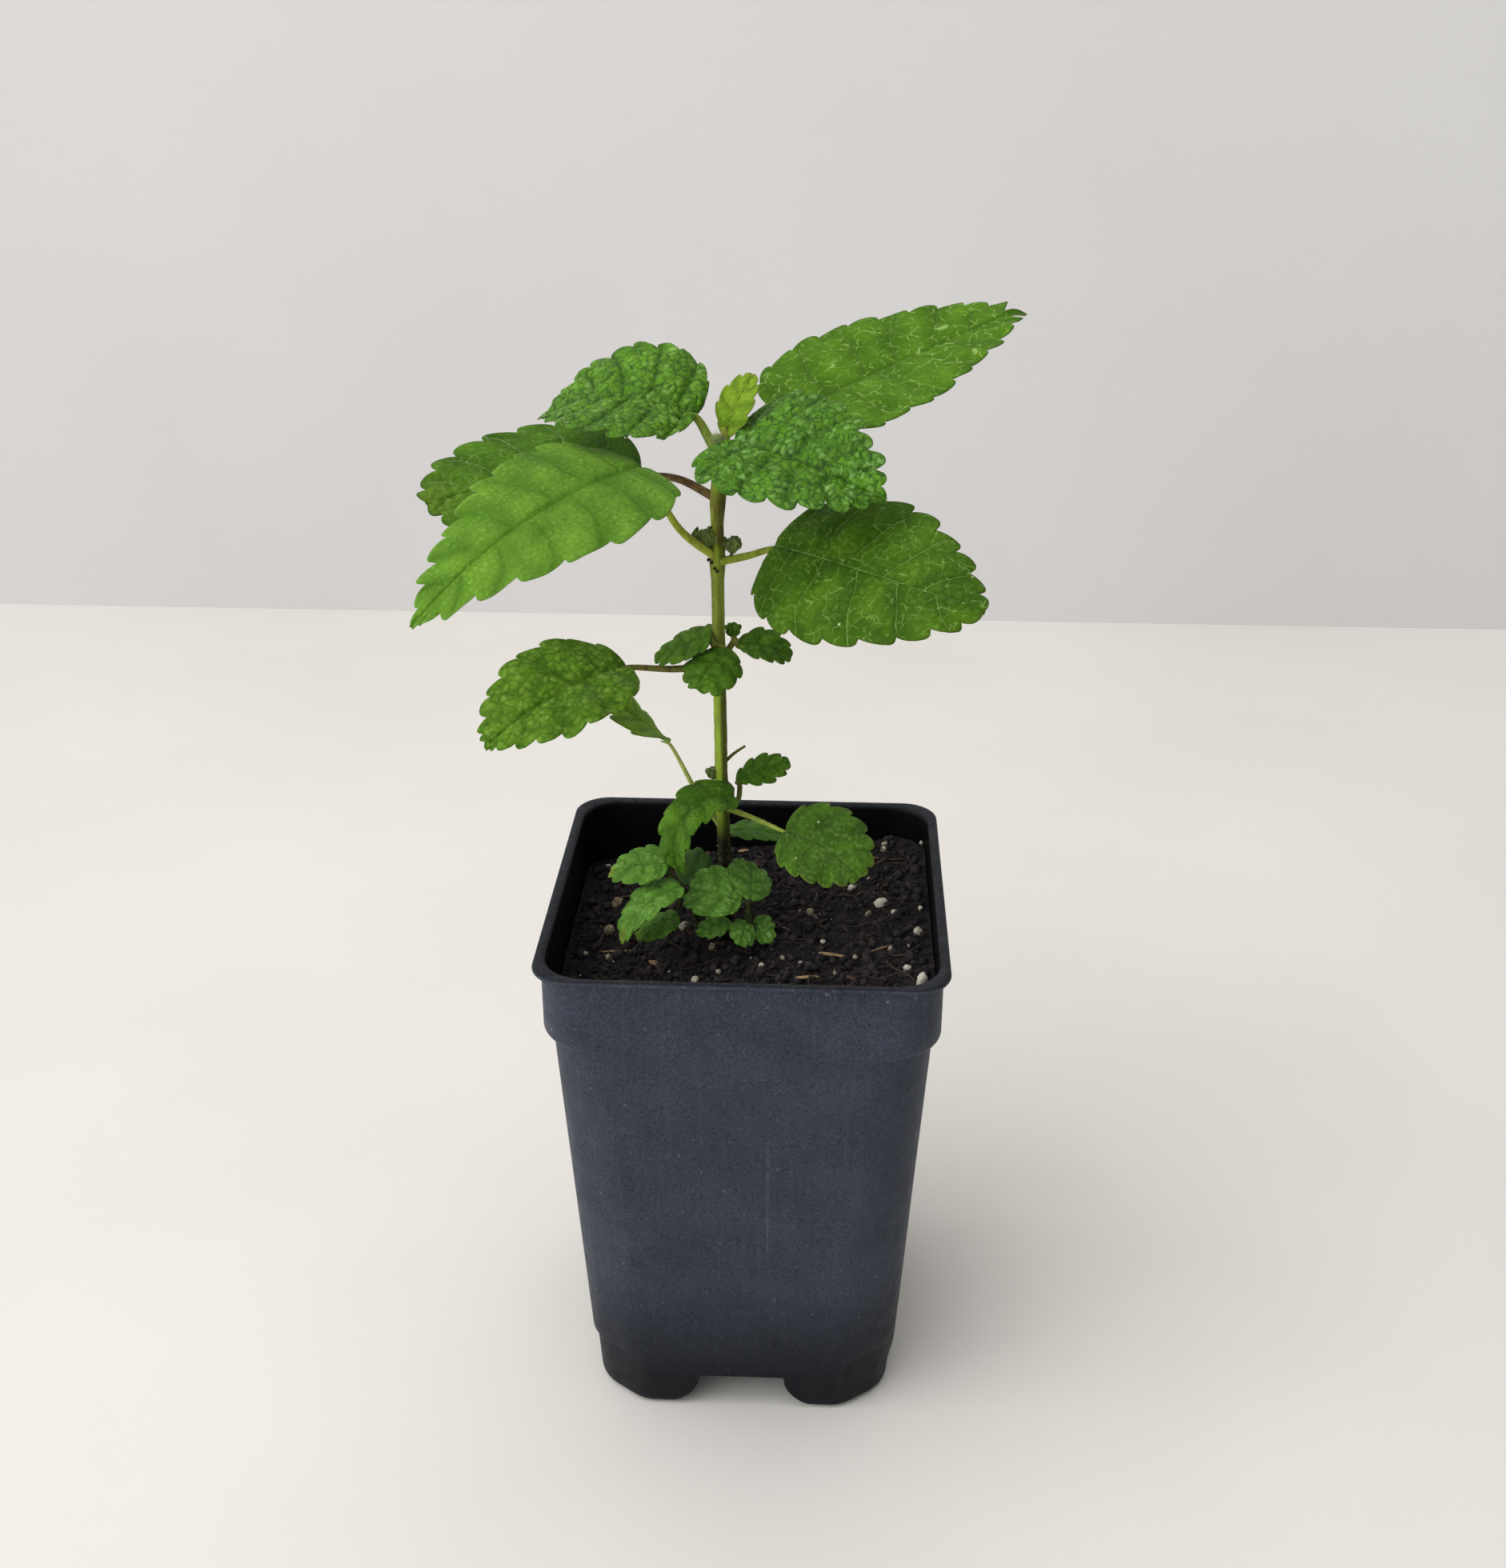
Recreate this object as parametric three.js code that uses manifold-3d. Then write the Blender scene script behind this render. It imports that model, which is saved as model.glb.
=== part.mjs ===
// A young lemon balm in a deep square nursery pot: hollow pot, potting soil, square stem, crenate leaves.
// Millimetres and degrees, +Z up. The plant's places are measured from a point on the pot's axis, FEET_LEVEL
// under its feet, and the pot's and soil's heights from the feet. The finished group is shifted so that its
// origin lies on the ground under the middle of the whole plant's bounding box.
import * as THREE from "three";
import { mergeVertices } from "three/addons/utils/BufferGeometryUtils.js";
import Module from "manifold-3d";

const wasm = await Module();
wasm.setup();

const { degToRad, lerp, smoothstep, clamp } = THREE.MathUtils;
const V = (x, y, z) => new THREE.Vector3(x, y, z);
const UPWARDS = V(0, 0, 1);

// Where the pot's axis stands from the origin
const FEET_LEVEL = 2.6;
const AXIS_OFFSET = V(4.8, 3.4, -FEET_LEVEL);

// Pot: a 3.5 inch square by 5 inch deep nursery size
const POT_HEIGHT = 121.6;
const LIP_HALF = 44.5; // half width over the flared lip
const COLLAR_HALF = 43.2;
const COLLAR_DEPTH = 18.2; // from the lip down to the step under the collar
const LIP_DEPTH = 1.1;
const LIP_FLARE = 0.9; // how far the wall's inside widens over the depth of the lip
const FOOT_STEP = 15.8; // height of the small step above the feet
const STEP_RISE = 1;
const STEP_INSET = 0.2; // how far the collar's lower edge stands back
const BODY_TAPER = 0.0595; // loss of half width per millimetre of depth
const WALL = 1.1;
const LIP_RADIUS = 8;
const LIP_ROUNDING = 0.4;
const COLLAR_RADIUS = 10.7;
const BODY_RADIUS = 12.2;
const BODY_INSET = 1.6; // how far the body's corners stand behind the flat of its faces
const FOOT_INSET = 2.4;
const FOOT_ROUNDING = 2;
const FRONT_FLAT = [0.62, 0.86]; // where along a front or back face its flat gives way to the inset corner
const SIDE_FLAT = [0.3, 0.72];
const FACE_STEPS = 4; // segments along each flat face
const ARC_STEPS = 4; // segments round each corner
const BEYOND = 5; // how far cutting forms run past what they cut

// Underside: a cross-shaped channel leaves four lobed feet and has drain holes in its roof
const CHANNEL_ROOF = 9.5;
const CHANNEL_PROFILE = [[19.4, -1], [19, 0], [16.5, 0.6], [14.3, 1.9], [12.4, 3.5], [11.1, 5.2], [10.3, 7],
  [10, CHANNEL_ROOF]];
const DRAIN_RADIUS = 4;
const DRAIN_REACH = 22;
const DRAIN_SIDES = 16;

// Soil, sloping up towards +X, with clods as relief
const SOIL_HEIGHT = 109.8;
const SOIL_SLOPE = 0.095;
const SOIL_RELIEF = 0.8;
const SOIL_RINGS = 6;
const SOIL_WALL_SHARE = 0.3; // share of the relief where the soil meets the wall
const CLOD_LIFT = 0.1; // how far a clod's middle stands out, as a share of its radius
const CLOD_COUNT = 18;
const CLOD_RADIUS = [1.1, 2.3];
const CLEARANCE = 0.3; // between the soil and the pot
const STEM_HOLE_GAP = 0.5; // between the soil and the stem
const SHOOT_HOLE_GAP = 0.45; // between the soil and the shoots at the stem's foot
const HOLE_SIDES = 8;

// Stem: square in section, standing on an edge towards the front
const STEM_HALF = 1.25;
const STEM_TURN = 40;
const STEM_CORNER = 0.62; // where the chamfer starts, as a share of the half width
const STEM_PATH = [V(-5, 0, 95), V(-5, 0, 112), V(-5.5, 0, 132), V(-6.1, 0, 148), V(-6.3, 0, 166),
  V(-6.5, 0, 178.5), V(-6.7, 0, 202.5), V(-6.6, 0, 214), V(-5.7, 0, 226.5)];
const NODE_HEIGHTS = [146, 178.5, 202.5, 216];
const NODE_SWELLING = 0.22;
const SWELLING_REACH = [1, 6]; // from full swelling to none, measured along the stem from a node
const STEM_TAPER = [1.04, 0.92]; // share of STEM_HALF at the foot and at the top
const STEM_GAP = 0.3; // between the stem and the petioles that spring from it
const STEM_STEPS = 26;
const STUB_STEPS = 4;

// Leaves
const BLADE_THICKNESS = 0.7;
const PETIOLE_SIDES = 5;
const PETIOLE_STEPS = 6;
const PETIOLE_RADII = { large: 0.85, middling: 0.65, small: 0.55 };
const PETIOLE_TAPER = [1.1, 0.55]; // share of its radius at the stem and under the blade
const KEEL_SHARE = 0.16; // how far a petiole runs on under the blade, as a share of the blade's length
const KEEL_LENGTHS = [1.5, 7]; // the shortest and longest such run
const KEEL_DEPTH = 0.45; // how far its middle lies under the blade's, as a share of its radius
const RIB_ANGLE = [112, 45]; // side ribs from the midrib, at the blade's base and at its tip
const LEAST_HALF_WIDTH = 0.35;
// Columns as shares of the half width from the right edge to the left one, and rows of each tooth as its
// place along the tooth and share of the tooth's depth
const LARGE_GRID = { columns: [-1, -0.5, 0, 0.5, 1], tooth: [[0, 0], [0.42, 1], [0.78, 0.75]] };
const SMALL_GRID = { columns: [-1, 0, 1], tooth: [[0, 0], [0.55, 1]] };
const LARGE_LENGTH = 30; // blades from this length up get the large grid

// Each leaf: node height or point that it springs from, blade base, heading about Z from +X, turn along the
// blade, climb above level, droop along it, roll that lifts the left edge, twist along it, then its size.
// fold lifts both halves from the midrib, camber bends their edges down, teeth count one side.
const LARGE_LEAVES = {
  leaf_upper_back_right: { from: V(-6.5, 0, 215.5), base: V(7.5, 14.8, 229.5), heading: 37, turn: -24,
    climb: 16, droop: 4, roll: 14, twist: -2, length: 59.5, width: 37.9, widest: 0.32, point: 0.81,
    fold: 0.14, camber: 0.07, teeth: 12, tooth: 1.2, arch: 0, colour: 0x5f8f2c },
  leaf_upper_back_left: { from: V(-6.5, 0, 215.4), base: V(-23.9, 8.1, 218.5), heading: 185, turn: 29,
    climb: 0, droop: -7, roll: -27, twist: 5, length: 45.3, width: 36.7, widest: 0.39, point: 0.76,
    fold: 0.08, camber: 0.12, teeth: 9, tooth: 1.7, arch: 1.5, colour: 0x4f8428 },
  leaf_upper_front_left: { from: V(-6.7, 0, 202.5), base: V(-21.2, -11.8, 225.4), heading: -120, turn: -31,
    climb: 7, droop: -52, roll: -13, twist: -11, length: 62.5, width: 32.3, widest: 0.28, point: 0.88,
    fold: 0.09, camber: 0.11, teeth: 12, tooth: 1.6, arch: -3.5, colour: 0x63982f },
  leaf_upper_front_right: { from: V(-6.7, 0, 201.7), base: V(5.8, -8, 208.1), heading: -49, turn: 23,
    climb: 6, droop: -17, roll: 40, twist: -11, length: 52, width: 36, widest: 0.36, point: 0.83,
    fold: 0.07, camber: 0.14, teeth: 9, tooth: 1.9, arch: -0.5, colour: 0x3f7420 },
  leaf_tip_right: { from: V(-6, 0, 222), base: V(-3, -2, 228.4), heading: -39, turn: 14, climb: 1,
    droop: -22, roll: 17, twist: 22, length: 37.3, width: 33, widest: 0.26, point: 0.98, fold: 0.21,
    camber: 0.09, teeth: 9, tooth: 2.1, arch: 0, colour: 0x3f7c2a },
  leaf_tip_left: { from: V(-6.2, -0.6, 224.5), base: V(-11.1, 2.3, 232.7), heading: 170, turn: -10, climb: 21,
    droop: -52, roll: -23, twist: 12, length: 35.1, width: 33.9, widest: 0.36, point: 1.04, fold: 0.22,
    camber: 0.07, teeth: 11, tooth: 1.8, arch: 0, colour: 0x458428 },
  leaf_middle_left: { from: V(-6.5, 0, 178), base: V(-26.4, -4.7, 179.7), heading: -140, turn: -5, climb: 0,
    droop: -34, roll: -12, twist: -2, length: 36.9, width: 29.3, widest: 0.37, point: 1, fold: 0.15,
    camber: 0.05, teeth: 9, tooth: 1.6, arch: -0.8, colour: 0x53812e },
  leaf_lower_back_left: { from: V(-5.7, 0, 138), base: V(-18, 2, 159), heading: 184, turn: -26, climb: 33,
    droop: 4, roll: 27, twist: -38, length: 13.4, width: 16.4, widest: 0.5, point: 0.69, fold: 0.1,
    camber: 0.12, teeth: 4, tooth: 0.8, arch: -1.3, colour: 0x3c6324 },
  leaf_lower_hanging: { from: V(-6.1, 0, 147), base: V(-3.3, -5, 149.1), heading: -163, turn: 36, climb: 18,
    droop: -145, roll: -11, twist: 6, length: 27.6, width: 12.4, widest: 0.26, point: 0.56, fold: 0.13,
    camber: 0.08, teeth: 8, tooth: 0.8, arch: 0, colour: 0x528430 },
  leaf_lower_front_right: { from: V(-6, 0, 144), base: V(8.5, -7.2, 142), heading: -21, turn: -19,
    climb: -5, droop: -27, roll: 22, twist: -7, length: 20.2, width: 22, widest: 0.38, point: 0.84,
    fold: 0.14, camber: 0.07, teeth: 7, tooth: 0.9, arch: 0, colour: 0x55852e },
  leaf_lower_back_right: { from: V(-5.7, 0, 137), base: V(-5.3, 3.5, 135.7), heading: 11, turn: -7,
    climb: 8, droop: -31, roll: -7, twist: 7, length: 12.7, width: 11, widest: 0.44, point: 0.84,
    fold: 0.11, camber: 0.09, teeth: 5, tooth: 0.7, arch: 0, colour: 0x44682f },
};

// Sprays of small leaves, each fused to its own stalk. A leaf whose base is well under the stalk's top
// springs from the point before it.
const LOW_LEAF_DROP = 2;
const STALK_STEPS = 6;
const SPRAYS = {
  axil_shoot_middle_left: { colour: 0x4d7d2c, stalk: [V(-6.5, 0, 179), V(-7.1, -1, 182), V(-7.6, -1.8, 184)],
    radius: 0.8, leaves: [
      { base: V(-8.1, -1.6, 185.6), heading: 168, turn: 8, climb: -21, droop: -11, roll: -17, twist: -1,
        length: 14, width: 11.3, widest: 0.35, point: 0.75, fold: 0.07, camber: 0.12, teeth: 5,
        tooth: 0.5 },
      { base: V(-4.2, -3.6, 183.4), heading: -126, turn: -8, climb: -10, droop: -42, roll: -7, twist: 0,
        length: 12, width: 13.5, widest: 0.46, point: 0.9, fold: 0, camber: 0.25, teeth: 5, tooth: 0.5 }] },
  axil_shoot_middle_right: { colour: 0x43702a, stalk: [V(-6.5, 0, 179), V(-4.3, 0.6, 182), V(-3, 0.6, 184)],
    radius: 0.7, leaves: [
      { base: V(-2.4, -0.2, 183.2), heading: 0, turn: -3, climb: 8, droop: -45, roll: 17, twist: 7,
        length: 12, width: 10, widest: 0.43, point: 0.86, fold: 0.14, camber: 0.06, teeth: 5, tooth: 0.5 },
      { base: V(-3.6, 1.6, 184.2), heading: 90, turn: 10, climb: 50, droop: -45, roll: 0, twist: 0,
        length: 4, width: 3.5, widest: 0.42, point: 0.85, fold: 0.1, camber: 0.1, teeth: 3,
        tooth: 0.3 }] },
  axil_shoot_lower_right: { colour: 0x4d7428, stalk: [V(-6, 0, 144), V(-2.6, 0, 145.6), V(-2, 0.4, 149)],
    radius: 0.6, leaves: [
      { base: V(-2.8, 0.5, 150.4), heading: 9, turn: 3, climb: 26, droop: -18, roll: 32, twist: 2,
        length: 12.5, width: 7.6, widest: 0.49, point: 0.79, fold: 0.07, camber: 0.09, teeth: 5,
        tooth: 0.5 }] },
  basal_shoot_left: { colour: 0x4a7b2a, stalk: [V(-11, -3, 102), V(-11, -3.2, 112), V(-12.4, -3.8, 120),
    V(-15, -5.4, 126), V(-17.4, -8.4, 131)], radius: 0.8, leaves: [
      { base: V(-17.7, -8.9, 133.8), heading: -181, turn: -10, climb: 1, droop: -28, roll: -15, twist: 1,
        length: 13.5, width: 12.4, widest: 0.38, point: 0.79, fold: 0.1, camber: 0.11, teeth: 5,
        tooth: 0.5 },
      { base: V(-14.5, -13.4, 130.5), heading: -156, turn: 3, climb: -2, droop: -71, roll: 2, twist: 3,
        length: 19, width: 12.9, widest: 0.36, point: 0.78, fold: 0.13, camber: 0.08, teeth: 6,
        tooth: 0.6 },
      { base: V(-15.4, -10.8, 121.8), heading: -164, turn: 2, climb: -14, droop: -20, roll: -1, twist: 0,
        length: 10.5, width: 10, widest: 0.39, point: 0.87, fold: 0.03, camber: 0.17, teeth: 4,
        tooth: 0.4 }] },
  basal_shoot_right: { colour: 0x4f812c, stalk: [V(2.6, -5.8, 102), V(2.2, -6.2, 112), V(0.6, -8.2, 119),
    V(0, -9, 125)], radius: 0.9, leaves: [
      { base: V(-1.3, -9.7, 124.9), heading: -179, turn: -23, climb: 28, droop: -42, roll: -20, twist: 1,
        length: 12.2, width: 15.6, widest: 0.46, point: 0.9, fold: 0.16, camber: 0.06, teeth: 5,
        tooth: 0.5 },
      { base: V(0.7, -9, 125), heading: 88, turn: 12, climb: 33, droop: -32, roll: 30, twist: -3,
        length: 12.5, width: 11, widest: 0.46, point: 0.84, fold: 0.08, camber: 0.12, teeth: 5, tooth: 0.5 },
      { base: V(-3.7, -8.3, 119.2), heading: -155, turn: 8, climb: 1, droop: -23, roll: -9, twist: -4,
        length: 8.3, width: 6.6, widest: 0.44, point: 0.86, fold: 0.06, camber: 0.14, teeth: 4,
        tooth: 0.35 },
      { base: V(0.2, -8.5, 119.2), heading: -105, turn: 9, climb: 4, droop: -43, roll: -26, twist: -2,
        length: 7.3, width: 6.4, widest: 0.43, point: 0.79, fold: 0, camber: 0.2, teeth: 4,
        tooth: 0.35 },
      { base: V(2.1, -7.5, 116.6), heading: 6, turn: 8, climb: 13, droop: -34, roll: 23, twist: -1,
        length: 3.9, width: 8.3, widest: 0.35, point: 0.88, fold: 0.07, camber: 0.13, teeth: 3,
        tooth: 0.35 }] },
  basal_shoot_back: { colour: 0x3c6628, stalk: [V(-8.6, -1.9, 102), V(-8.6, -1.7, 112), V(-9, -1.2, 124)],
    radius: 0.7, leaves: [
      { base: V(-9.6, -1.2, 124.6), heading: 128, turn: -13, climb: 24, droop: -27, roll: -34, twist: -9,
        length: 12, width: 9, widest: 0.47, point: 0.84, fold: 0.08, camber: 0.12, teeth: 4, tooth: 0.4 }] },
  tip_shoot: { colour: 0x7d9a35, stalk: [V(-4.9, 1, 225), V(-4.9, 1.8, 227.6), V(-5.4, 2.6, 230)],
    radius: 0.9, leaves: [
      { base: V(-5, 2.3, 228), heading: 25, turn: 5, climb: 75, droop: -28, roll: 14, twist: 6, length: 14,
        width: 10, widest: 0.44, point: 0.91, fold: 0.15, camber: 0.05, teeth: 5, tooth: 0.45 }] },
};

// Round axillary buds on the stem: centre and radii
const BUDS = [
  { at: V(-9.2, -0.5, 206.8), radii: V(1.9, 1.5, 2.4) },
  { at: V(-3.6, 0.4, 205.2), radii: V(1.4, 1.4, 1.9) },
  { at: V(-8, 0.2, 152), radii: V(1.1, 1, 1.5) },
];

// A dry stub that stays where a petiole has dropped
const STUB = { path: [V(-6.1, 0.2, 154.2), V(-3.4, 0.8, 156.8), V(-0.9, 1, 158.6)], radius: 0.4 };

function seededRandom(seed) {
  let state = seed;
  return () => {
    state = (state * 16807) % 2147483647;
    return state / 2147483647;
  };
}

function solidFrom(positions, triangles) {
  return new wasm.Manifold(new wasm.Mesh({
    numProp: 3,
    vertProperties: Float32Array.from(positions),
    triVerts: Uint32Array.from(triangles),
  }));
}

function solidFromGeometry(geometry) {
  const bare = geometry.clone();
  bare.deleteAttribute("normal");
  bare.deleteAttribute("uv");
  const merged = mergeVertices(bare, 1e-4);
  return solidFrom(merged.attributes.position.array, merged.index.array);
}

// Solids joined in one body, without the scraps and sealed hollows that joining can leave
function fuse(solids) {
  const bodies = solids.reduce((whole, next) => whole.add(next)).decompose();
  return bodies.reduce((largest, body) => (body.volume() > largest.volume() ? body : largest));
}

// A closed solid through rings of equal point count, each turning counter-clockwise about the way they run
function loft(rings) {
  const count = rings[0].length;
  const positions = [];
  const triangles = [];
  for (const point of rings.flat()) positions.push(...point);
  for (let row = 0; row + 1 < rings.length; row++) {
    for (let i = 0; i < count; i++) {
      const a = row * count + i;
      const b = row * count + ((i + 1) % count);
      triangles.push(a, b, b + count, a, b + count, a + count);
    }
  }
  const cap = (row, turn) => {
    const centre = rings[row].reduce((sum, point) => sum.add(point), V(0, 0, 0)).divideScalar(count);
    const middle = positions.length / 3;
    positions.push(...centre);
    for (let i = 0; i < count; i++) {
      const a = row * count + i;
      const b = row * count + ((i + 1) % count);
      triangles.push(middle, ...(turn ? [a, b] : [b, a]));
    }
  };
  cap(0, false);
  cap(rings.length - 1, true);
  return solidFrom(positions, triangles);
}

// A tube along points, its section given as [across, up] pairs that radiusAt scales along the way
function tube(points, section, steps, radiusAt) {
  const curve = new THREE.CatmullRomCurve3(points);
  const frames = curve.computeFrenetFrames(steps, false);
  const rings = [];
  for (let i = 0; i <= steps; i++) {
    const centre = curve.getPointAt(i / steps);
    const size = radiusAt(i / steps, centre);
    rings.push(section.map(([across, up]) => centre.clone()
      .addScaledVector(frames.normals[i], across * size)
      .addScaledVector(frames.binormals[i], up * size)));
  }
  return loft(rings);
}

const roundSection = (sides) => Array.from({ length: sides }, (_, i) => {
  const angle = (2 * Math.PI * i) / sides;
  return [Math.cos(angle), Math.sin(angle)];
});

// One ring of the pot: a rounded square whose corners stand back by inset from its flat faces
function potRing(half, radius, inset, height) {
  const points = [];
  const flat = half - radius;
  for (let quarter = 0; quarter < 4; quarter++) {
    const turn = (quarter * Math.PI) / 2;
    const place = (x, y) => V(x, y, height).applyAxisAngle(UPWARDS, turn);
    for (let i = 0; i < FACE_STEPS; i++) points.push(place(half, lerp(-flat, flat, i / FACE_STEPS)));
    for (let i = 0; i < ARC_STEPS; i++) {
      const angle = (i / ARC_STEPS) * (Math.PI / 2);
      points.push(place(flat + radius * Math.cos(angle), flat + radius * Math.sin(angle)));
    }
  }
  for (const point of points) {
    const acrossSide = smoothstep(Math.abs(point.y) / half, ...SIDE_FLAT);
    const acrossFront = smoothstep(Math.abs(point.x) / half, ...FRONT_FLAT);
    point.x *= 1 - (inset / half) * acrossSide;
    point.y *= 1 - (inset / half) * acrossFront;
  }
  return points;
}

const COLLAR_FOOT = POT_HEIGHT - COLLAR_DEPTH;
const bodyHalf = (height) => COLLAR_HALF - BODY_TAPER * (COLLAR_FOOT - height);

// The pot's outer form, shrunk all round by inward, from the height floor up to the height top
function potForm(inward, floor, top) {
  const body = (height, inset, rounding = 0) =>
    potRing(bodyHalf(height) - inward - rounding, BODY_RADIUS - inward, inset, height);
  const rings = [
    body(floor, FOOT_INSET, FOOT_ROUNDING),
    body(floor + 0.3 * FOOT_ROUNDING, FOOT_INSET, 0.3 * FOOT_ROUNDING),
    body(floor + FOOT_ROUNDING, FOOT_INSET),
    body(FOOT_STEP - STEP_RISE, FOOT_INSET),
    body(FOOT_STEP, BODY_INSET),
    body(COLLAR_FOOT - STEP_RISE, BODY_INSET),
    potRing(COLLAR_HALF - inward - STEP_INSET, COLLAR_RADIUS - inward, STEP_INSET, COLLAR_FOOT),
    potRing(COLLAR_HALF - inward, COLLAR_RADIUS - inward, 0, COLLAR_FOOT + STEP_RISE),
    potRing(COLLAR_HALF - inward, COLLAR_RADIUS - inward, 0, Math.min(top, POT_HEIGHT - LIP_DEPTH)),
  ];
  if (top > POT_HEIGHT) {
    for (const height of [POT_HEIGHT, top]) {
      rings.push(potRing(COLLAR_HALF - inward + LIP_FLARE, COLLAR_RADIUS - inward, 0, height));
    }
  }
  return loft(rings);
}

function lipForm() {
  const lip = (height, half) => potRing(half, LIP_RADIUS, 0, height);
  const rim = POT_HEIGHT - LIP_DEPTH;
  return loft([
    potRing(COLLAR_HALF - WALL / 2, COLLAR_RADIUS, 0, rim - 1),
    lip(rim, LIP_HALF - LIP_ROUNDING),
    lip(rim + LIP_ROUNDING, LIP_HALF),
    lip(POT_HEIGHT - LIP_ROUNDING, LIP_HALF),
    lip(POT_HEIGHT, LIP_HALF - LIP_ROUNDING),
  ]);
}

// The channel under the pot, grown upwards and sideways by outward
function channelForm(outward) {
  const shape = new THREE.Shape();
  const profile = CHANNEL_PROFILE.map(([half, height]) =>
    [half + outward, height < 0 ? height : height + outward]);
  const edge = [...profile, ...profile.map(([half, height]) => [-half, height]).reverse()];
  edge.forEach(([x, y], i) => (i ? shape.lineTo(x, y) : shape.moveTo(x, y)));
  const reach = LIP_HALF + BEYOND;
  const bar = new THREE.ExtrudeGeometry(shape, { depth: 2 * reach, bevelEnabled: false });
  bar.translate(0, 0, -reach).rotateX(Math.PI / 2);
  return solidFromGeometry(bar).add(solidFromGeometry(bar.rotateZ(Math.PI / 2)));
}

function upright(radius, foot, top, x, y) {
  const rod = new THREE.CylinderGeometry(radius, radius, top - foot, DRAIN_SIDES);
  return solidFromGeometry(rod.rotateX(Math.PI / 2).translate(x, y, (foot + top) / 2));
}

function makePot() {
  const inside = potForm(WALL, WALL, POT_HEIGHT + BEYOND).subtract(channelForm(WALL));
  const drains = [upright(DRAIN_RADIUS, 0, 2 * CHANNEL_ROOF, 0, 0)];
  for (const [x, y] of [[1, 0], [-1, 0], [0, 1], [0, -1]]) {
    drains.push(upright(DRAIN_RADIUS, 0, 2 * CHANNEL_ROOF, x * DRAIN_REACH, y * DRAIN_REACH));
  }
  const outside = potForm(0, 0, POT_HEIGHT - LIP_DEPTH).add(lipForm()).subtract(channelForm(0));
  return drains.reduce((pot, drain) => pot.subtract(drain), outside.subtract(inside));
}

const soilPlane = (x) => SOIL_HEIGHT + SOIL_SLOPE * x;

// Soil: the pot's inside up to a rough sloping surface, with clods standing out of it and holes for the stems
function makeSoil(holes) {
  const random = seededRandom(71);
  const inward = WALL + CLEARANCE;
  const filling = potForm(inward, inward, POT_HEIGHT).subtract(channelForm(inward));
  const rim = potRing(COLLAR_HALF, COLLAR_RADIUS, 0, 0);
  const rings = [rim.map(({ x, y }) => V(x, y, -1))];
  for (let i = 0; i < SOIL_RINGS; i++) {
    const share = 1 - i / SOIL_RINGS;
    rings.push(rim.map(({ x, y }) => V(x * share, y * share,
      soilPlane(x * share) + SOIL_RELIEF * (2 * random() - 1) * (i ? 1 : SOIL_WALL_SHARE))));
  }
  let soil = filling.intersect(loft(rings));
  for (let i = 0; i < CLOD_COUNT; i++) {
    const size = lerp(...CLOD_RADIUS, random());
    const reach = COLLAR_HALF - WALL - 2 * CLOD_RADIUS[1];
    const x = lerp(-reach, reach, random());
    const y = lerp(-reach, reach, random());
    const clod = new THREE.IcosahedronGeometry(size, 0).rotateX(random() * 3).rotateZ(random() * 3);
    clod.translate(x, y, soilPlane(x) + CLOD_LIFT * size);
    soil = soil.add(solidFromGeometry(clod));
  }
  return holes.reduce((rest, hole) => rest.subtract(hole), soil.translate([0, 0, FEET_LEVEL]));
}

// The stem's square section as [across, up] pairs, two for each chamfered corner
const STEM_SECTION = [[1, -1], [1, 1], [-1, 1], [-1, -1]].flatMap(([x, y]) => {
  const beforeCorner = x === y ? V(x, y * STEM_CORNER, 0) : V(x * STEM_CORNER, y, 0);
  const afterCorner = x === y ? V(x * STEM_CORNER, y, 0) : V(x, y * STEM_CORNER, 0);
  return [beforeCorner, afterCorner].map((point) => {
    const turned = point.applyAxisAngle(UPWARDS, degToRad(STEM_TURN));
    return [turned.x, turned.y];
  });
});

function stemForm(outward) {
  return tube(STEM_PATH, STEM_SECTION, STEM_STEPS, (share, centre) => {
    const nearest = Math.min(...NODE_HEIGHTS.map((height) => Math.abs(height - centre.z)));
    const swelling = NODE_SWELLING * (1 - smoothstep(nearest, ...SWELLING_REACH));
    return STEM_HALF * (lerp(...STEM_TAPER, share) + swelling) + outward;
  });
}

// The stem with its axillary buds, grown all round by outward
function makeStem(outward) {
  const buds = BUDS.map(({ at, radii }) => {
    const grown = radii.clone().addScalar(outward);
    return solidFromGeometry(new THREE.IcosahedronGeometry(1, 1).scale(...grown).translate(...at));
  });
  const stub = tube(STUB.path, roundSection(PETIOLE_SIDES), STUB_STEPS, () => STUB.radius + outward);
  return fuse([stemForm(outward), stub, ...buds]);
}

// Unit vector along a heading about Z and a climb above level
function direction(heading, climb) {
  const h = degToRad(heading);
  const c = degToRad(climb);
  return V(Math.cos(c) * Math.cos(h), Math.cos(c) * Math.sin(h), Math.sin(c));
}

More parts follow.
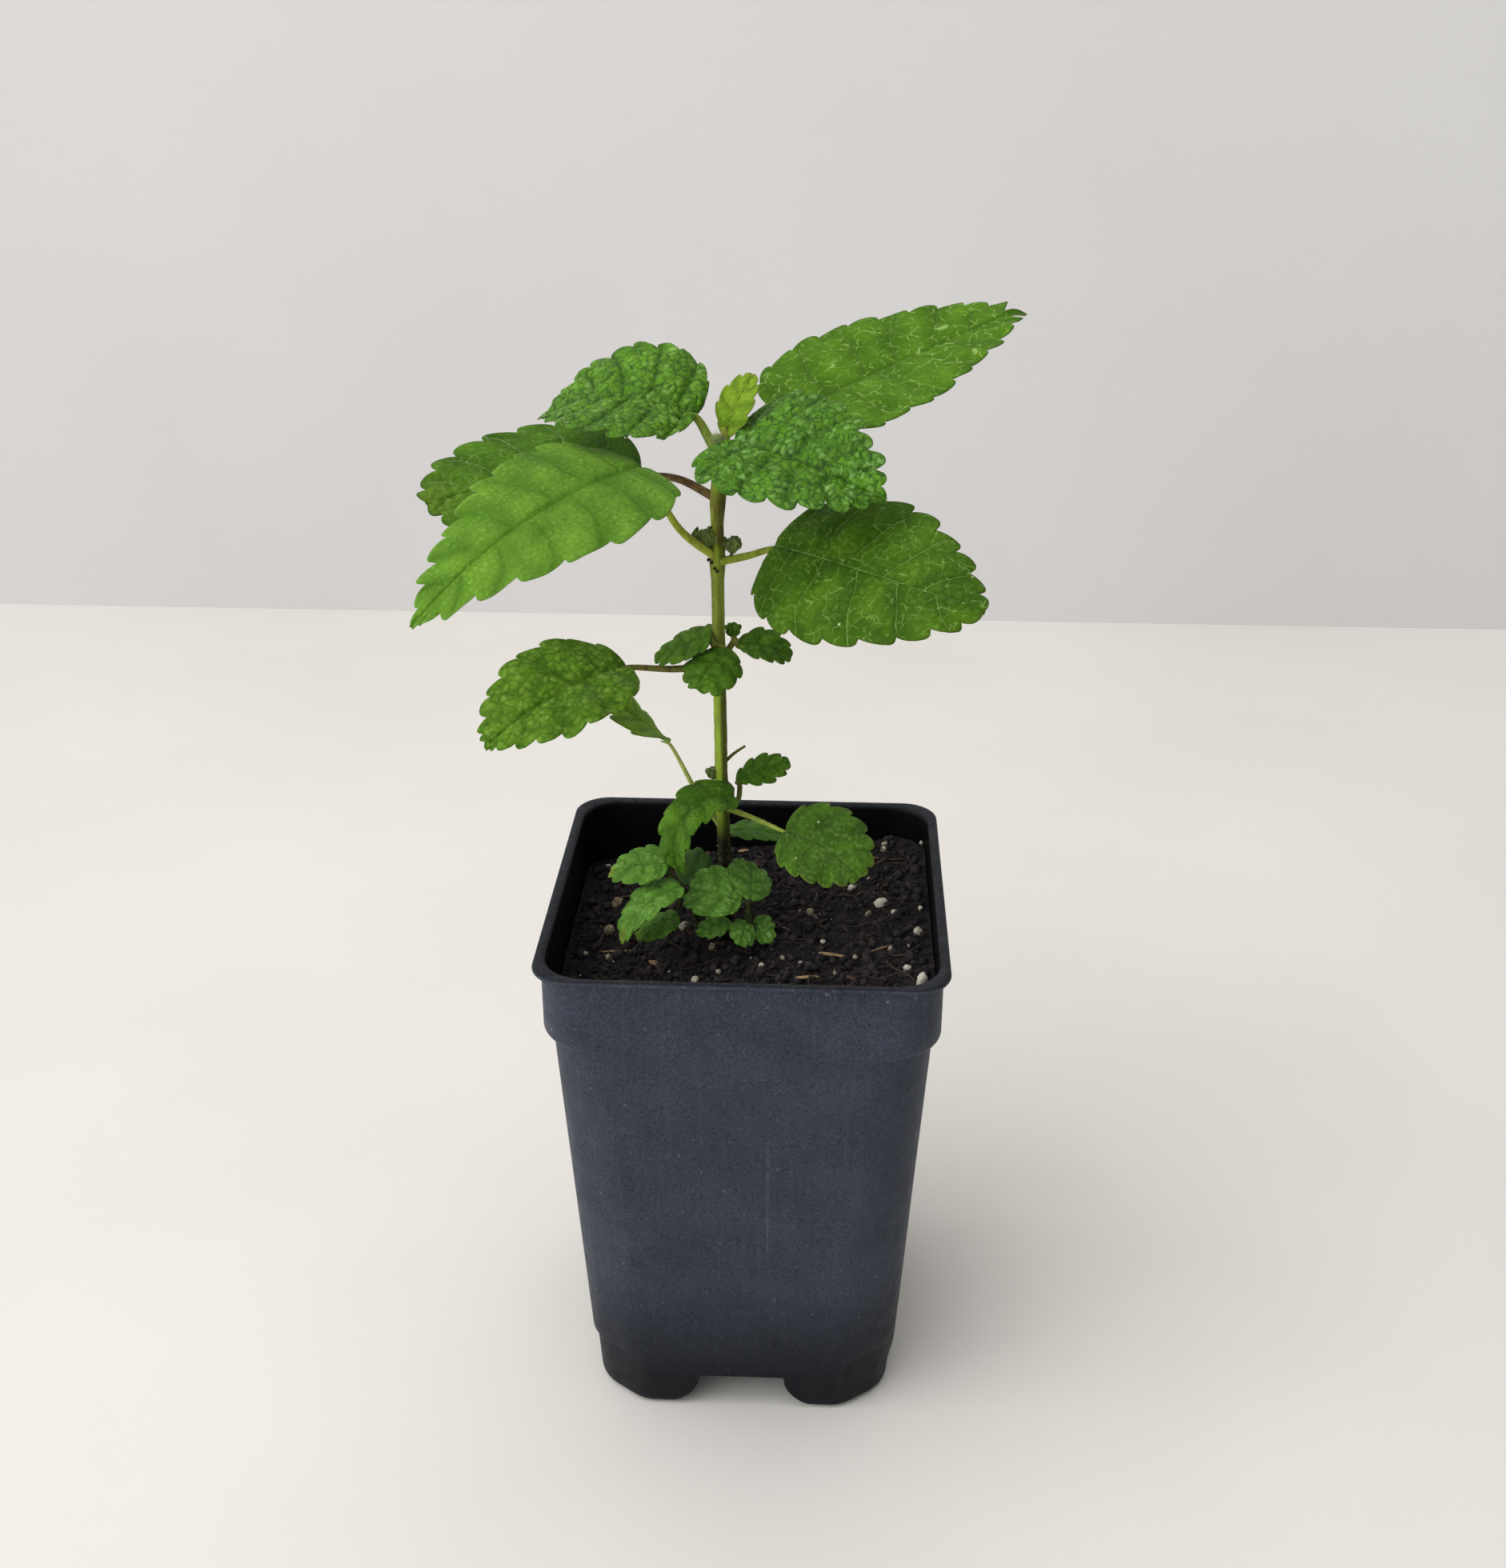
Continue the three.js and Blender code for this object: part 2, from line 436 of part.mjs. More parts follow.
// The middle surface of a blade: rows of points from its base to its tip, with crenate edges
function bladeRows(leaf, grid) {
  const stations = [];
  for (let tooth = 0; tooth < leaf.teeth; tooth++) {
    for (const [place, depth] of grid.tooth) stations.push([(tooth + place) / leaf.teeth, depth]);
  }
  stations.push([1, 0]);
  const skew = Math.log(0.5) / Math.log(leaf.widest);
  const middle = leaf.base.clone();
  const rows = [];
  stations.forEach(([share, depth], i) => {
    if (i) {
      const before = stations[i - 1][0];
      const at = (share + before) / 2;
      const step = direction(leaf.heading + leaf.turn * at, leaf.climb + leaf.droop * at);
      middle.addScaledVector(step, leaf.length * (share - before));
    }
    const heading = leaf.heading + leaf.turn * share;
    const along = direction(heading, leaf.climb + leaf.droop * share);
    const level = direction(heading + 90, 0);
    const raised = along.clone().cross(level);
    const roll = degToRad(leaf.roll + leaf.twist * share);
    const left = level.clone().multiplyScalar(Math.cos(roll)).addScaledVector(raised, Math.sin(roll));
    const above = raised.clone().multiplyScalar(Math.cos(roll)).addScaledVector(level, -Math.sin(roll));
    const smooth = (leaf.width / 2) * Math.sin(Math.PI * share ** skew) ** leaf.point;
    const notch = leaf.tooth * (depth - 0.6) * Math.min(1, smooth / (3 * leaf.tooth));
    const half = Math.max(LEAST_HALF_WIDTH, smooth + notch);
    const rib = degToRad(lerp(...RIB_ANGLE, share));
    rows.push(grid.columns.map((column) => {
      const reach = Math.abs(column);
      return middle.clone()
        .addScaledVector(along, half * reach * Math.cos(rib))
        .addScaledVector(left, half * column * Math.sin(rib))
        .addScaledVector(above, half * (leaf.fold * reach - leaf.camber * reach * reach));
    }));
  });
  return rows;
}

// A blade of even thickness, split into the same triangles above and below
function bladeForm(leaf) {
  const grid = leaf.length < LARGE_LENGTH ? SMALL_GRID : LARGE_GRID;
  const rows = bladeRows(leaf, grid);
  const width = grid.columns.length;
  const count = rows.length * width;
  const faces = [];
  for (let row = 0; row + 1 < rows.length; row++) {
    for (let column = 0; column + 1 < width; column++) {
      const a = row * width + column;
      const right = column < (width - 1) / 2;
      if (right) faces.push([a, a + width, a + width + 1], [a, a + width + 1, a + 1]);
      else faces.push([a, a + width, a + 1], [a + 1, a + width, a + width + 1]);
    }
  }
  const sheet = new THREE.BufferGeometry();
  sheet.setAttribute("position", new THREE.Float32BufferAttribute(rows.flat().flatMap((p) => [...p]), 3));
  sheet.setIndex(faces.flat());
  sheet.computeVertexNormals();
  const normals = sheet.attributes.normal;
  const positions = [];
  for (const side of [-0.5, 0.5]) {
    rows.flat().forEach((point, i) => {
      const normal = V(0, 0, 0).fromBufferAttribute(normals, i);
      positions.push(...point.clone().addScaledVector(normal, side * BLADE_THICKNESS));
    });
  }
  const triangles = [];
  for (const [a, b, c] of faces) {
    triangles.push(a + count, b + count, c + count, a, c, b);
  }
  const rim = [];
  for (let row = 0; row < rows.length; row++) rim.push(row * width);
  for (let column = 1; column < width; column++) rim.push((rows.length - 1) * width + column);
  for (let row = rows.length - 2; row >= 0; row--) rim.push(row * width + width - 1);
  for (let column = width - 2; column > 0; column--) rim.push(column);
  rim.forEach((a, i) => {
    const b = rim[(i + 1) % rim.length];
    triangles.push(a, b, b + count, a, b + count, a + count);
  });
  return solidFrom(positions, triangles);
}

// A stalk from a point on the stem to a little way along the underside of the blade
function petioleForm(from, leaf, radius) {
  const along = direction(leaf.heading, leaf.climb);
  const keel = clamp(leaf.length * KEEL_SHARE, ...KEEL_LENGTHS);
  const under = (distance) => leaf.base.clone().addScaledVector(along, distance)
    .addScaledVector(UPWARDS, -radius * KEEL_DEPTH);
  const middle = from.clone().lerp(leaf.base, 0.5).addScaledVector(UPWARDS, leaf.arch ?? 0);
  return tube([from, middle, under(0), under(keel)], roundSection(PETIOLE_SIDES), PETIOLE_STEPS,
    (share) => radius * lerp(...PETIOLE_TAPER, share));
}

const group = new THREE.Group();
const PLASTIC = { color: 0x23262d, roughness: 0.5, metalness: 0 };
const LEAFY = { roughness: 0.6, metalness: 0 };
const STEMMY = { color: 0x6d6a34, roughness: 0.65, metalness: 0 };
const EARTHY = { color: 0x2a211c, roughness: 0.95, metalness: 0 };

function addNode(name, solid, look) {
  const { vertProperties, triVerts, numProp } = solid.getMesh();
  const geometry = new THREE.BufferGeometry();
  geometry.setAttribute("position", new THREE.BufferAttribute(new Float32Array(vertProperties), numProp));
  geometry.setIndex(new THREE.BufferAttribute(new Uint32Array(triVerts), 1));
  geometry.computeVertexNormals();
  const mesh = new THREE.Mesh(geometry, new THREE.MeshStandardMaterial(look));
  mesh.name = name;
  group.add(mesh);
}

addNode("pot", makePot().translate([0, 0, FEET_LEVEL]), PLASTIC);

const stemClear = makeStem(STEM_GAP);

// Leaf nodes lose what would touch the stem, and the shoots that spring from the soil get a hole in it
const holes = [stemForm(STEM_HOLE_GAP)];
for (const [name, spray] of Object.entries(SPRAYS)) {
  const parts = [tube(spray.stalk, roundSection(PETIOLE_SIDES), STALK_STEPS, () => spray.radius)];
  for (const leaf of spray.leaves) {
    const belowTop = spray.stalk.at(-1).z > leaf.base.z + LOW_LEAF_DROP;
    const from = spray.stalk.at(belowTop ? -2 : -1);
    parts.push(bladeForm(leaf), petioleForm(from, leaf, PETIOLE_RADII.small));
  }
  addNode(name, fuse([fuse(parts).subtract(stemClear)]), { ...LEAFY, color: spray.colour });
  if (name.startsWith("basal")) {
    holes.push(tube(spray.stalk, roundSection(HOLE_SIDES), STALK_STEPS, () => spray.radius + SHOOT_HOLE_GAP));
  }
}

for (const [name, leaf] of Object.entries(LARGE_LEAVES)) {
  const radius = leaf.length > LARGE_LENGTH ? PETIOLE_RADII.large : PETIOLE_RADII.middling;
  const whole = fuse([bladeForm(leaf), petioleForm(leaf.from, leaf, radius)]);
  addNode(name, fuse([whole.subtract(stemClear)]), { ...LEAFY, color: leaf.colour });
}

addNode("main_stem", makeStem(0), STEMMY);
addNode("soil", makeSoil(holes), EARTHY);
group.position.copy(AXIS_OFFSET);

export default group;
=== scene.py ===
"""The looks of the potted lemon balm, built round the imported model. Lengths are millimetres about the
pot's axis until add_piece turns them into metres in the part's frame."""

import itertools
import math

import bpy
import numpy as np
from mathutils import Matrix


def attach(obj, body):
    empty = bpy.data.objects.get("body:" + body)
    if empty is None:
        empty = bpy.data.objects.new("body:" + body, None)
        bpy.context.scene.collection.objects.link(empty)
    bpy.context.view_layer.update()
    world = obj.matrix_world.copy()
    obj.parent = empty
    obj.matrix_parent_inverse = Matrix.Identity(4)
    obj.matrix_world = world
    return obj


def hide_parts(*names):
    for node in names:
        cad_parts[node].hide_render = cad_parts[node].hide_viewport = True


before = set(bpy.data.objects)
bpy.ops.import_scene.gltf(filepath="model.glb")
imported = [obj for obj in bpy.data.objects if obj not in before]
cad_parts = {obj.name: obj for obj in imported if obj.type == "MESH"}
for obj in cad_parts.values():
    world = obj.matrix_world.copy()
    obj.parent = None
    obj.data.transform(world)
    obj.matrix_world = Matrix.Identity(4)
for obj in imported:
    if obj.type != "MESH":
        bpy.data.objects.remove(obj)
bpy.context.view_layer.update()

MM = 0.001  # metres
FEET_LEVEL = 2.6  # height of the feet above the point that the plant's places are measured from
AXIS = np.array([4.8, 3.4, -FEET_LEVEL])  # that point, under the pot's axis, in the part's frame
UP = np.array([0.0, 0.0, 1.0])

# Pot
POT_HEIGHT, LIP_HALF, COLLAR_HALF, COLLAR_DEPTH, LIP_DEPTH = 121.6, 44.5, 43.2, 18.2, 1.1
FOOT_STEP, STEP_RISE, BODY_TAPER, WALL, LIP_FLARE = 15.8, 1.0, 0.0595, 1.1, 0.9
LIP_RADIUS, COLLAR_RADIUS, BODY_RADIUS = 8.0, 10.7, 12.2
BODY_INSET, FOOT_INSET, FOOT_ROUNDING = 1.6, 2.4, 2.0
FRONT_FLAT, SIDE_FLAT = (0.62, 0.86), (0.3, 0.72)
CHANNEL_PROFILE = [(19.4, -1), (19, 0), (16.5, 0.6), (14.3, 1.9), (12.4, 3.5), (11.1, 5.2), (10.3, 7),
                   (10, 9.5)]  # half its width at each height
CHANNEL_REACH = 50  # to each side of the axis
DRAIN_RADIUS, DRAIN_REACH, DRAIN_LENGTH = 4.0, 22.0, 20
LIP_ROUNDING = 0.45
SCRATCH_ACROSS, SCRATCH_FOOT, SCRATCH_TOP = 10.9, 44.0, 86.0  # a pale scratch down the front
COLLAR_FOOT = POT_HEIGHT - COLLAR_DEPTH

# Soil
SOIL_HEIGHT, SOIL_SLOPE = 112.4, 0.095
SOIL_CUT = 107.1  # below this height the soil is as in the solids
SOIL_GAP, SOIL_RINGS = 0.3, 95
CORNER_REACH = 1.902  # of an icosahedron's corners, before they are brought to 1

# Stem
STEM_HALF, STEM_TURN, STEM_SIDES, STEM_CORNER = 1.25, 40, 32, 1.19
STEM_MEAN = 1.08  # mean radius of the square section, in halves of its width
STEM_BARE = 60  # hairs start at this point of the stem's path, above the soil
STEM_PATH = [(-5, 0, 95), (-5, 0, 112), (-5.5, 0, 132), (-6.1, 0, 148), (-6.3, 0, 166), (-6.5, 0, 178.5),
             (-6.7, 0, 202.5), (-6.6, 0, 214), (-5.7, 0, 226.5)]
NODE_HEIGHTS = [146, 178.5, 202.5, 216]
NODE_SWELLING, SWELLING_REACH, STEM_TAPER = 0.22, (1, 6), (1.04, 0.92)
BUDS = [((-9.2, -0.5, 206.8), (1.9, 1.5, 2.4)), ((-3.6, 0.4, 205.2), (1.4, 1.4, 1.9)),
        ((-8, 0.2, 152), (1.1, 1, 1.5))]
STUB_PATH, STUB_RADIUS = [(-6.1, 0.2, 154.2), (-3.4, 0.8, 156.8), (-0.9, 1, 158.6)], 0.4

# Blades: base point, heading about Z and its turn along the blade, climb above level and its droop, roll
# that lifts the left edge and its twist, length, width, place of the widest point, power of the outline,
# fold of both halves from the midrib, camber of their edges, teeth a side and their depth
BLADE_TERMS = ("x y z heading turn climb droop roll twist length width widest point fold camber "
               "teeth tooth").split()
RIB_ANGLE = (112, 45)  # degrees from midrib to side veins, at the base and at the tip
LEAST_HALF, RIM_WIDTH = 0.35, 0.7  # least half width of a blade, and width of its thin margin
FULL_LENGTH = 30  # blades shorter than this have finer veins
HAIR_CORNERS = (0, 2.094, 4.189)  # of a hair's three-sided foot, in radians
BLADES = {
    "leaf_upper_back_right": (7.5, 14.8, 229.5, 37, -24, 16, 4, 14, -2, 59.5, 37.9, 0.32, 0.81, 0.14,
                              0.07, 12, 1.2),
    "leaf_upper_back_left": (-23.9, 8.1, 218.5, 185, 29, 0, -7, -27, 5, 45.3, 36.7, 0.39, 0.76, 0.08,
                             0.12, 9, 1.7),
    "leaf_upper_front_left": (-21.2, -11.8, 225.4, -120, -31, 7, -52, -13, -11, 62.5, 32.3, 0.28, 0.88,
                              0.09, 0.11, 12, 1.6),
    "leaf_upper_front_right": (5.8, -8, 208.1, -49, 23, 6, -17, 40, -11, 52, 36, 0.36, 0.83, 0.07, 0.14,
                               9, 1.9),
    "leaf_tip_right": (-3, -2, 228.4, -39, 14, 1, -22, 17, 22, 37.3, 33, 0.26, 0.98, 0.21, 0.09, 9, 2.1),
    "leaf_tip_left": (-11.1, 2.3, 232.7, 170, -10, 21, -52, -23, 12, 35.1, 33.9, 0.36, 1.04, 0.22, 0.07,
                      11, 1.8),
    "leaf_middle_left": (-26.4, -4.7, 179.7, -140, -5, 0, -34, -12, -2, 36.9, 29.3, 0.37, 1, 0.15, 0.05,
                         9, 1.6),
    "leaf_lower_back_left": (-18, 2, 159, 184, -26, 33, 4, 27, -38, 13.4, 16.4, 0.5, 0.69, 0.1, 0.12, 4,
                             0.8),
    "leaf_lower_hanging": (-3.3, -5, 149.1, -163, 36, 18, -145, -11, 6, 27.6, 12.4, 0.26, 0.56, 0.13, 0.08,
                           8, 0.8),
    "leaf_lower_front_right": (8.5, -7.2, 142, -21, -19, -5, -27, 22, -7, 20.2, 22, 0.38, 0.84, 0.14,
                               0.07, 7, 0.9),
    "leaf_lower_back_right": (-5.3, 3.5, 135.7, 11, -7, 8, -31, -7, 7, 12.7, 11, 0.44, 0.84, 0.11, 0.09,
                              5, 0.7),
}
PETIOLES = {  # where each springs from the stem, how far its middle is raised, and its radius
    "leaf_upper_back_right": ((-6.5, 0, 215.5), 0, 0.85),
    "leaf_upper_back_left": ((-6.5, 0, 215.4), 1.5, 0.9),
    "leaf_upper_front_left": ((-6.7, 0, 202.5), -3.5, 0.85),
    "leaf_upper_front_right": ((-6.7, 0, 201.7), -0.5, 0.85),
    "leaf_tip_right": ((-6, 0, 222), 0, 0.85),
    "leaf_tip_left": ((-6.2, -0.6, 224.5), 0, 1.1),
    "leaf_middle_left": ((-6.5, 0, 178), -0.8, 0.85),
    "leaf_lower_back_left": ((-5.7, 0, 138), -1.3, 0.65),
    "leaf_lower_hanging": ((-6.1, 0, 147), 0, 0.65),
    "leaf_lower_front_right": ((-6, 0, 144), 0, 0.65),
    "leaf_lower_back_right": ((-5.7, 0, 137), 0, 0.65),
}
SPRAYS = {  # stalk points, stalk radius, blades
    "axil_shoot_middle_left": ([(-6.5, 0, 179), (-7.1, -1, 182), (-7.6, -1.8, 184)], 0.8, [
        (-8.1, -1.6, 185.6, 168, 8, -21, -11, -17, -1, 14, 11.3, 0.35, 0.75, 0.07, 0.12, 5, 0.5),
        (-4.2, -3.6, 183.4, -126, -8, -10, -42, -7, 0, 12, 13.5, 0.46, 0.9, 0, 0.25, 5, 0.5)]),
    "axil_shoot_middle_right": ([(-6.5, 0, 179), (-4.3, 0.6, 182), (-3, 0.6, 184)], 0.7, [
        (-2.4, -0.2, 183.2, 0, -3, 8, -45, 17, 7, 12, 10, 0.43, 0.86, 0.14, 0.06, 5, 0.5),
        (-3.6, 1.6, 184.2, 90, 10, 50, -45, 0, 0, 4, 3.5, 0.42, 0.85, 0.1, 0.1, 3, 0.3)]),
    "axil_shoot_lower_right": ([(-6, 0, 144), (-2.6, 0, 145.6), (-2, 0.4, 149)], 0.6, [
        (-2.8, 0.5, 150.4, 9, 3, 26, -18, 32, 2, 12.5, 7.6, 0.49, 0.79, 0.07, 0.09, 5, 0.5)]),
    "basal_shoot_left": ([(-11, -3, 102), (-11, -3.2, 112), (-12.4, -3.8, 120), (-15, -5.4, 126),
                          (-17.4, -8.4, 131)], 0.8, [
        (-17.7, -8.9, 133.8, -181, -10, 1, -28, -15, 1, 13.5, 12.4, 0.38, 0.79, 0.1, 0.11, 5, 0.5),
        (-14.5, -13.4, 130.5, -156, 3, -2, -71, 2, 3, 19, 12.9, 0.36, 0.78, 0.13, 0.08, 6, 0.6),
        (-15.4, -10.8, 121.8, -164, 2, -14, -20, -1, 0, 10.5, 10, 0.39, 0.87, 0.03, 0.17, 4, 0.4)]),
    "basal_shoot_right": ([(2.6, -5.8, 102), (2.2, -6.2, 112), (0.6, -8.2, 119), (0, -9, 125)], 0.9, [
        (-1.3, -9.7, 124.9, -179, -23, 28, -42, -20, 1, 12.2, 15.6, 0.46, 0.9, 0.16, 0.06, 5, 0.5),
        (0.7, -9, 125, 88, 12, 33, -32, 30, -3, 12.5, 11, 0.46, 0.84, 0.08, 0.12, 5, 0.5),
        (-3.7, -8.3, 119.2, -155, 8, 1, -23, -9, -4, 8.3, 6.6, 0.44, 0.86, 0.06, 0.14, 4, 0.35),
        (0.2, -8.5, 119.2, -105, 9, 4, -43, -26, -2, 7.3, 6.4, 0.43, 0.79, 0, 0.2, 4, 0.35),
        (2.1, -7.5, 116.6, 6, 8, 13, -34, 23, -1, 3.9, 8.3, 0.35, 0.88, 0.07, 0.13, 3, 0.35)]),
    "basal_shoot_back": ([(-8.6, -1.9, 102), (-8.6, -1.7, 112), (-9, -1.2, 124)], 0.7, [
        (-9.6, -1.2, 124.6, 128, -13, 24, -27, -34, -9, 12, 9, 0.47, 0.84, 0.08, 0.12, 4, 0.4)]),
    "tip_shoot": ([(-4.9, 1, 225), (-4.9, 1.8, 227.6), (-5.4, 2.6, 230)], 0.9, [
        (-5, 2.3, 228, 25, 5, 75, -28, 14, 6, 14, 10, 0.44, 0.91, 0.15, 0.05, 5, 0.45)]),
}
LOW_LEAF_DROP = 2  # a shoot's leaf this far below the end of its stalk starts at the point before
STALK_STEPS, HAIRY = 40, slice(3, 30)  # points along a stalk, and those of them that carry hairs
SMALL_PETIOLE, PETIOLE_TAPER = 0.55, (1.1, 0.55)
KEEL_SHARE, KEEL_LENGTHS, KEEL_DEPTH = 0.16, (1.5, 7), 0.45  # how a petiole runs on under its blade
KEEL_SUNK = (0.25, 0.55, 1.0)
TIP_BUD, TIP_HAIRS = np.array([-6.6, 0.6, 227.4]), 260
SCARS = [  # black spots on the stem: x, y, z, radius
    (-8.5, -1.2, 202.6, 0.42), (-7.9, -1.4, 202.0, 0.4), (-6.7, -1.7, 200.2, 0.5), (-8.0, -1.1, 209.6, 0.3),
    (-3.7, -0.9, 203.6, 0.42), (-4.1, -1.0, 203.4, 0.3), (-7.2, -1.7, 200.8, 0.35)]


# Numbers and noise

def smoothstep(x, low, high):
    t = np.clip((x - low) / (high - low), 0, 1)
    return t * t * (3 - 2 * t)


def lattice(cells, seed):
    """A fixed number from 0 to 1 for each row of whole numbers."""
    mixed = (cells * np.array([73856093, 19349663, 83492791])[:cells.shape[-1]]).sum(-1) + seed * 7919
    mixed = (mixed ^ (mixed >> 13)) * 1274126177 & 0x7FFFFFFF
    mixed = (mixed ^ (mixed >> 15)) * 739982445 & 0x7FFFFFFF
    return (mixed >> 7) % 65536 / 65535


def wobble(points, size, seed, octaves=1):
    """Smooth noise from -1 to 1 with features of about size millimetres."""
    total, weight = 0, 1
    for octave in range(octaves):
        scaled = np.asarray(points, float) / size * 2 ** octave
        cell = np.floor(scaled).astype(np.int64)
        within = scaled - cell
        within = within * within * (3 - 2 * within)
        for corner in itertools.product((0, 1), repeat=scaled.shape[-1]):
            share = np.where(np.array(corner), within, 1 - within).prod(-1)
            total = total + weight * share * (2 * lattice(cell + np.array(corner), seed + octave) - 1)
        weight /= 2
    return total


def cell_borders(flat, size, seed):
    """Distance of flat points from the nearest border in a net of cells of about size millimetres."""
    scaled = flat / size
    home = np.floor(scaled).astype(np.int64)
    found = []
    for shift in itertools.product((-1, 0, 1), repeat=2):
        cell = home + np.array(shift)
        centre = cell + 0.5 + 0.8 * (np.stack([lattice(cell, seed), lattice(cell, seed + 5)], -1) - 0.5)
        found.append(np.linalg.norm(scaled - centre, axis=-1))
    nearest = np.sort(found, axis=0)
    return (nearest[1] - nearest[0]) * size / 2


def direction(heading, climb):
    h, c = np.radians(heading), np.radians(climb)
    return np.stack([np.cos(c) * np.cos(h), np.cos(c) * np.sin(h), np.sin(c) + 0 * h], -1)


def unit(vectors):
    return vectors / np.linalg.norm(vectors, axis=-1, keepdims=True)


# Meshes

def grid_faces(rows, columns, wrap=False):
    """Quads between rows of points; wrap joins the last column to the first."""
    a = np.arange(rows * columns).reshape(rows, columns)
    b = np.roll(a, -1, 1) if wrap else a[:, 1:]
    a = a if wrap else a[:, :-1]
    return np.stack([a[:-1], b[:-1], b[1:], a[1:]], -1).reshape(-1, 4)


def join(parts):
    """Points, faces and marks of several parts as one. A part is (points, faces, marks)."""
    points = np.concatenate([p for p, _, _ in parts])
    starts = np.cumsum([0] + [len(p) for p, _, _ in parts])
    faces = [np.asarray(f) + s for (_, fs, _), s in zip(parts, starts) for f in fs]
    keys = {key for _, _, marks in parts for key in marks}
    marks = {key: np.concatenate([np.broadcast_to(m.get(key, 0.0), len(p)) for p, _, m in parts])
             for key in keys}
    return points, faces, marks


def marked(part, key, value):
    """The part with one value of a mark on all its points."""
    part[2][key] = np.full(len(part[0]), float(value))
    return part


def new_object(name, data):
    made = bpy.data.objects.new(name, data)
    bpy.context.scene.collection.objects.link(made)
    return made


def add_piece(name, part, material, stands_for=(), sharp=None):
    """A piece of the object from one part: smooth, with its marks as point attributes."""
    points, faces, marks = part
    mesh = bpy.data.meshes.new(name)
    mesh.vertices.add(len(points))
    mesh.vertices.foreach_set("co", ((points + AXIS) * MM).astype(np.float32).ravel())
    corners = np.concatenate([f.ravel() for f in faces])
    sizes = np.concatenate([np.full(len(f), f.shape[1]) for f in faces])
    mesh.loops.add(len(corners))
    mesh.loops.foreach_set("vertex_index", corners.astype(np.int32))
    mesh.polygons.add(len(sizes))
    mesh.polygons.foreach_set("loop_start", (np.cumsum(sizes) - sizes).astype(np.int32))
    mesh.update(calc_edges=True)
    mesh.validate()
    mesh.shade_smooth()
    if sharp:
        mesh.set_sharp_from_angle(angle=math.radians(sharp))
    for key, values in marks.items():
        layer = mesh.attributes.new(key, "FLOAT", "POINT")
        layer.data.foreach_set("value", np.asarray(values, np.float32))
    mesh.materials.append(material)
    piece = new_object(name, mesh)
    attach(piece, "root")
    if stands_for:
        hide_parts(*stands_for)


def smooth_path(points, steps):
    """Evenly spaced points along a centripetal spline through the given ones."""
    given = np.asarray(points, float)
    ends = np.vstack([2 * given[0] - given[1], given, 2 * given[-1] - given[-2]])
    fine = []
    for i in range(len(given) - 1):
        p = ends[i:i + 4]
        knots = np.concatenate([[0], np.cumsum(np.linalg.norm(np.diff(p, axis=0), axis=1) ** 0.5)])
        t = np.linspace(knots[1], knots[2], 60)[:, None]

        def between(a, b, ta, tb):
            return ((tb - t) * a + (t - ta) * b) / (tb - ta)

        first = [between(p[k], p[k + 1], knots[k], knots[k + 1]) for k in range(3)]
        second = [between(first[k], first[k + 1], knots[k], knots[k + 2]) for k in range(2)]
        fine.append(between(second[0], second[1], knots[1], knots[2]))
    fine = np.vstack(fine)
    along = np.concatenate([[0], np.cumsum(np.linalg.norm(np.diff(fine, axis=0), axis=1))])
    even = np.linspace(0, along[-1], steps + 1)
    return np.stack([np.interp(even, along, fine[:, k]) for k in range(3)], -1)


def tube(path, radii, sides=10):
    """A closed round tube along a path."""
    tangents = unit(np.gradient(path, axis=0))
    side = np.array([0.0, -1.0, 0.0]) if abs(tangents[0][1]) < 0.9 else np.array([1.0, 0.0, 0.0])
    angles = np.linspace(0, 2 * np.pi, sides, endpoint=False)
    points = []
    for centre, ahead, radius in zip(path, tangents, np.broadcast_to(radii, len(path))):
        side = unit(side - ahead * side.dot(ahead))
        other = np.cross(ahead, side)
        points.append(centre + radius * (np.cos(angles)[:, None] * side + np.sin(angles)[:, None] * other))
    count = len(path)
    points = np.concatenate([np.concatenate(points), path[:1], path[-1:]])
    first = np.arange(sides)
    after = np.roll(first, -1)
    caps = np.concatenate([
        np.stack([np.full(sides, count * sides), after, first], -1),
        np.stack([np.full(sides, count * sides + 1), first + (count - 1) * sides,
                  after + (count - 1) * sides], -1)])
    share = np.append(np.repeat(np.linspace(0, 1, count), sides), [0, 1])
    return points, [grid_faces(count, sides, wrap=True), caps], {"share": share}


def hairs(roots, aims, lengths, thickness, seed):
    """Fine tapered hairs, three-sided, that stand on roots and point along aims."""
    rng = np.random.default_rng(seed)
    aims = unit(aims + rng.normal(0, 0.25, aims.shape))
    across = unit(np.cross(aims, rng.normal(0, 1, aims.shape)))
    other = np.cross(aims, across)
    ring = [roots + thickness * (math.cos(a) * across + math.sin(a) * other) for a in HAIR_CORNERS]
    tip = roots + aims * np.asarray(lengths)[:, None] + rng.normal(0, 0.06, aims.shape)
    points = np.stack(ring + [tip], 1).reshape(-1, 3)
    start = np.arange(len(roots))[:, None] * 4
    faces = np.concatenate([start + np.array([i, (i + 1) % 3, 3]) for i in range(3)])
    return points, [faces], {}


# Blades

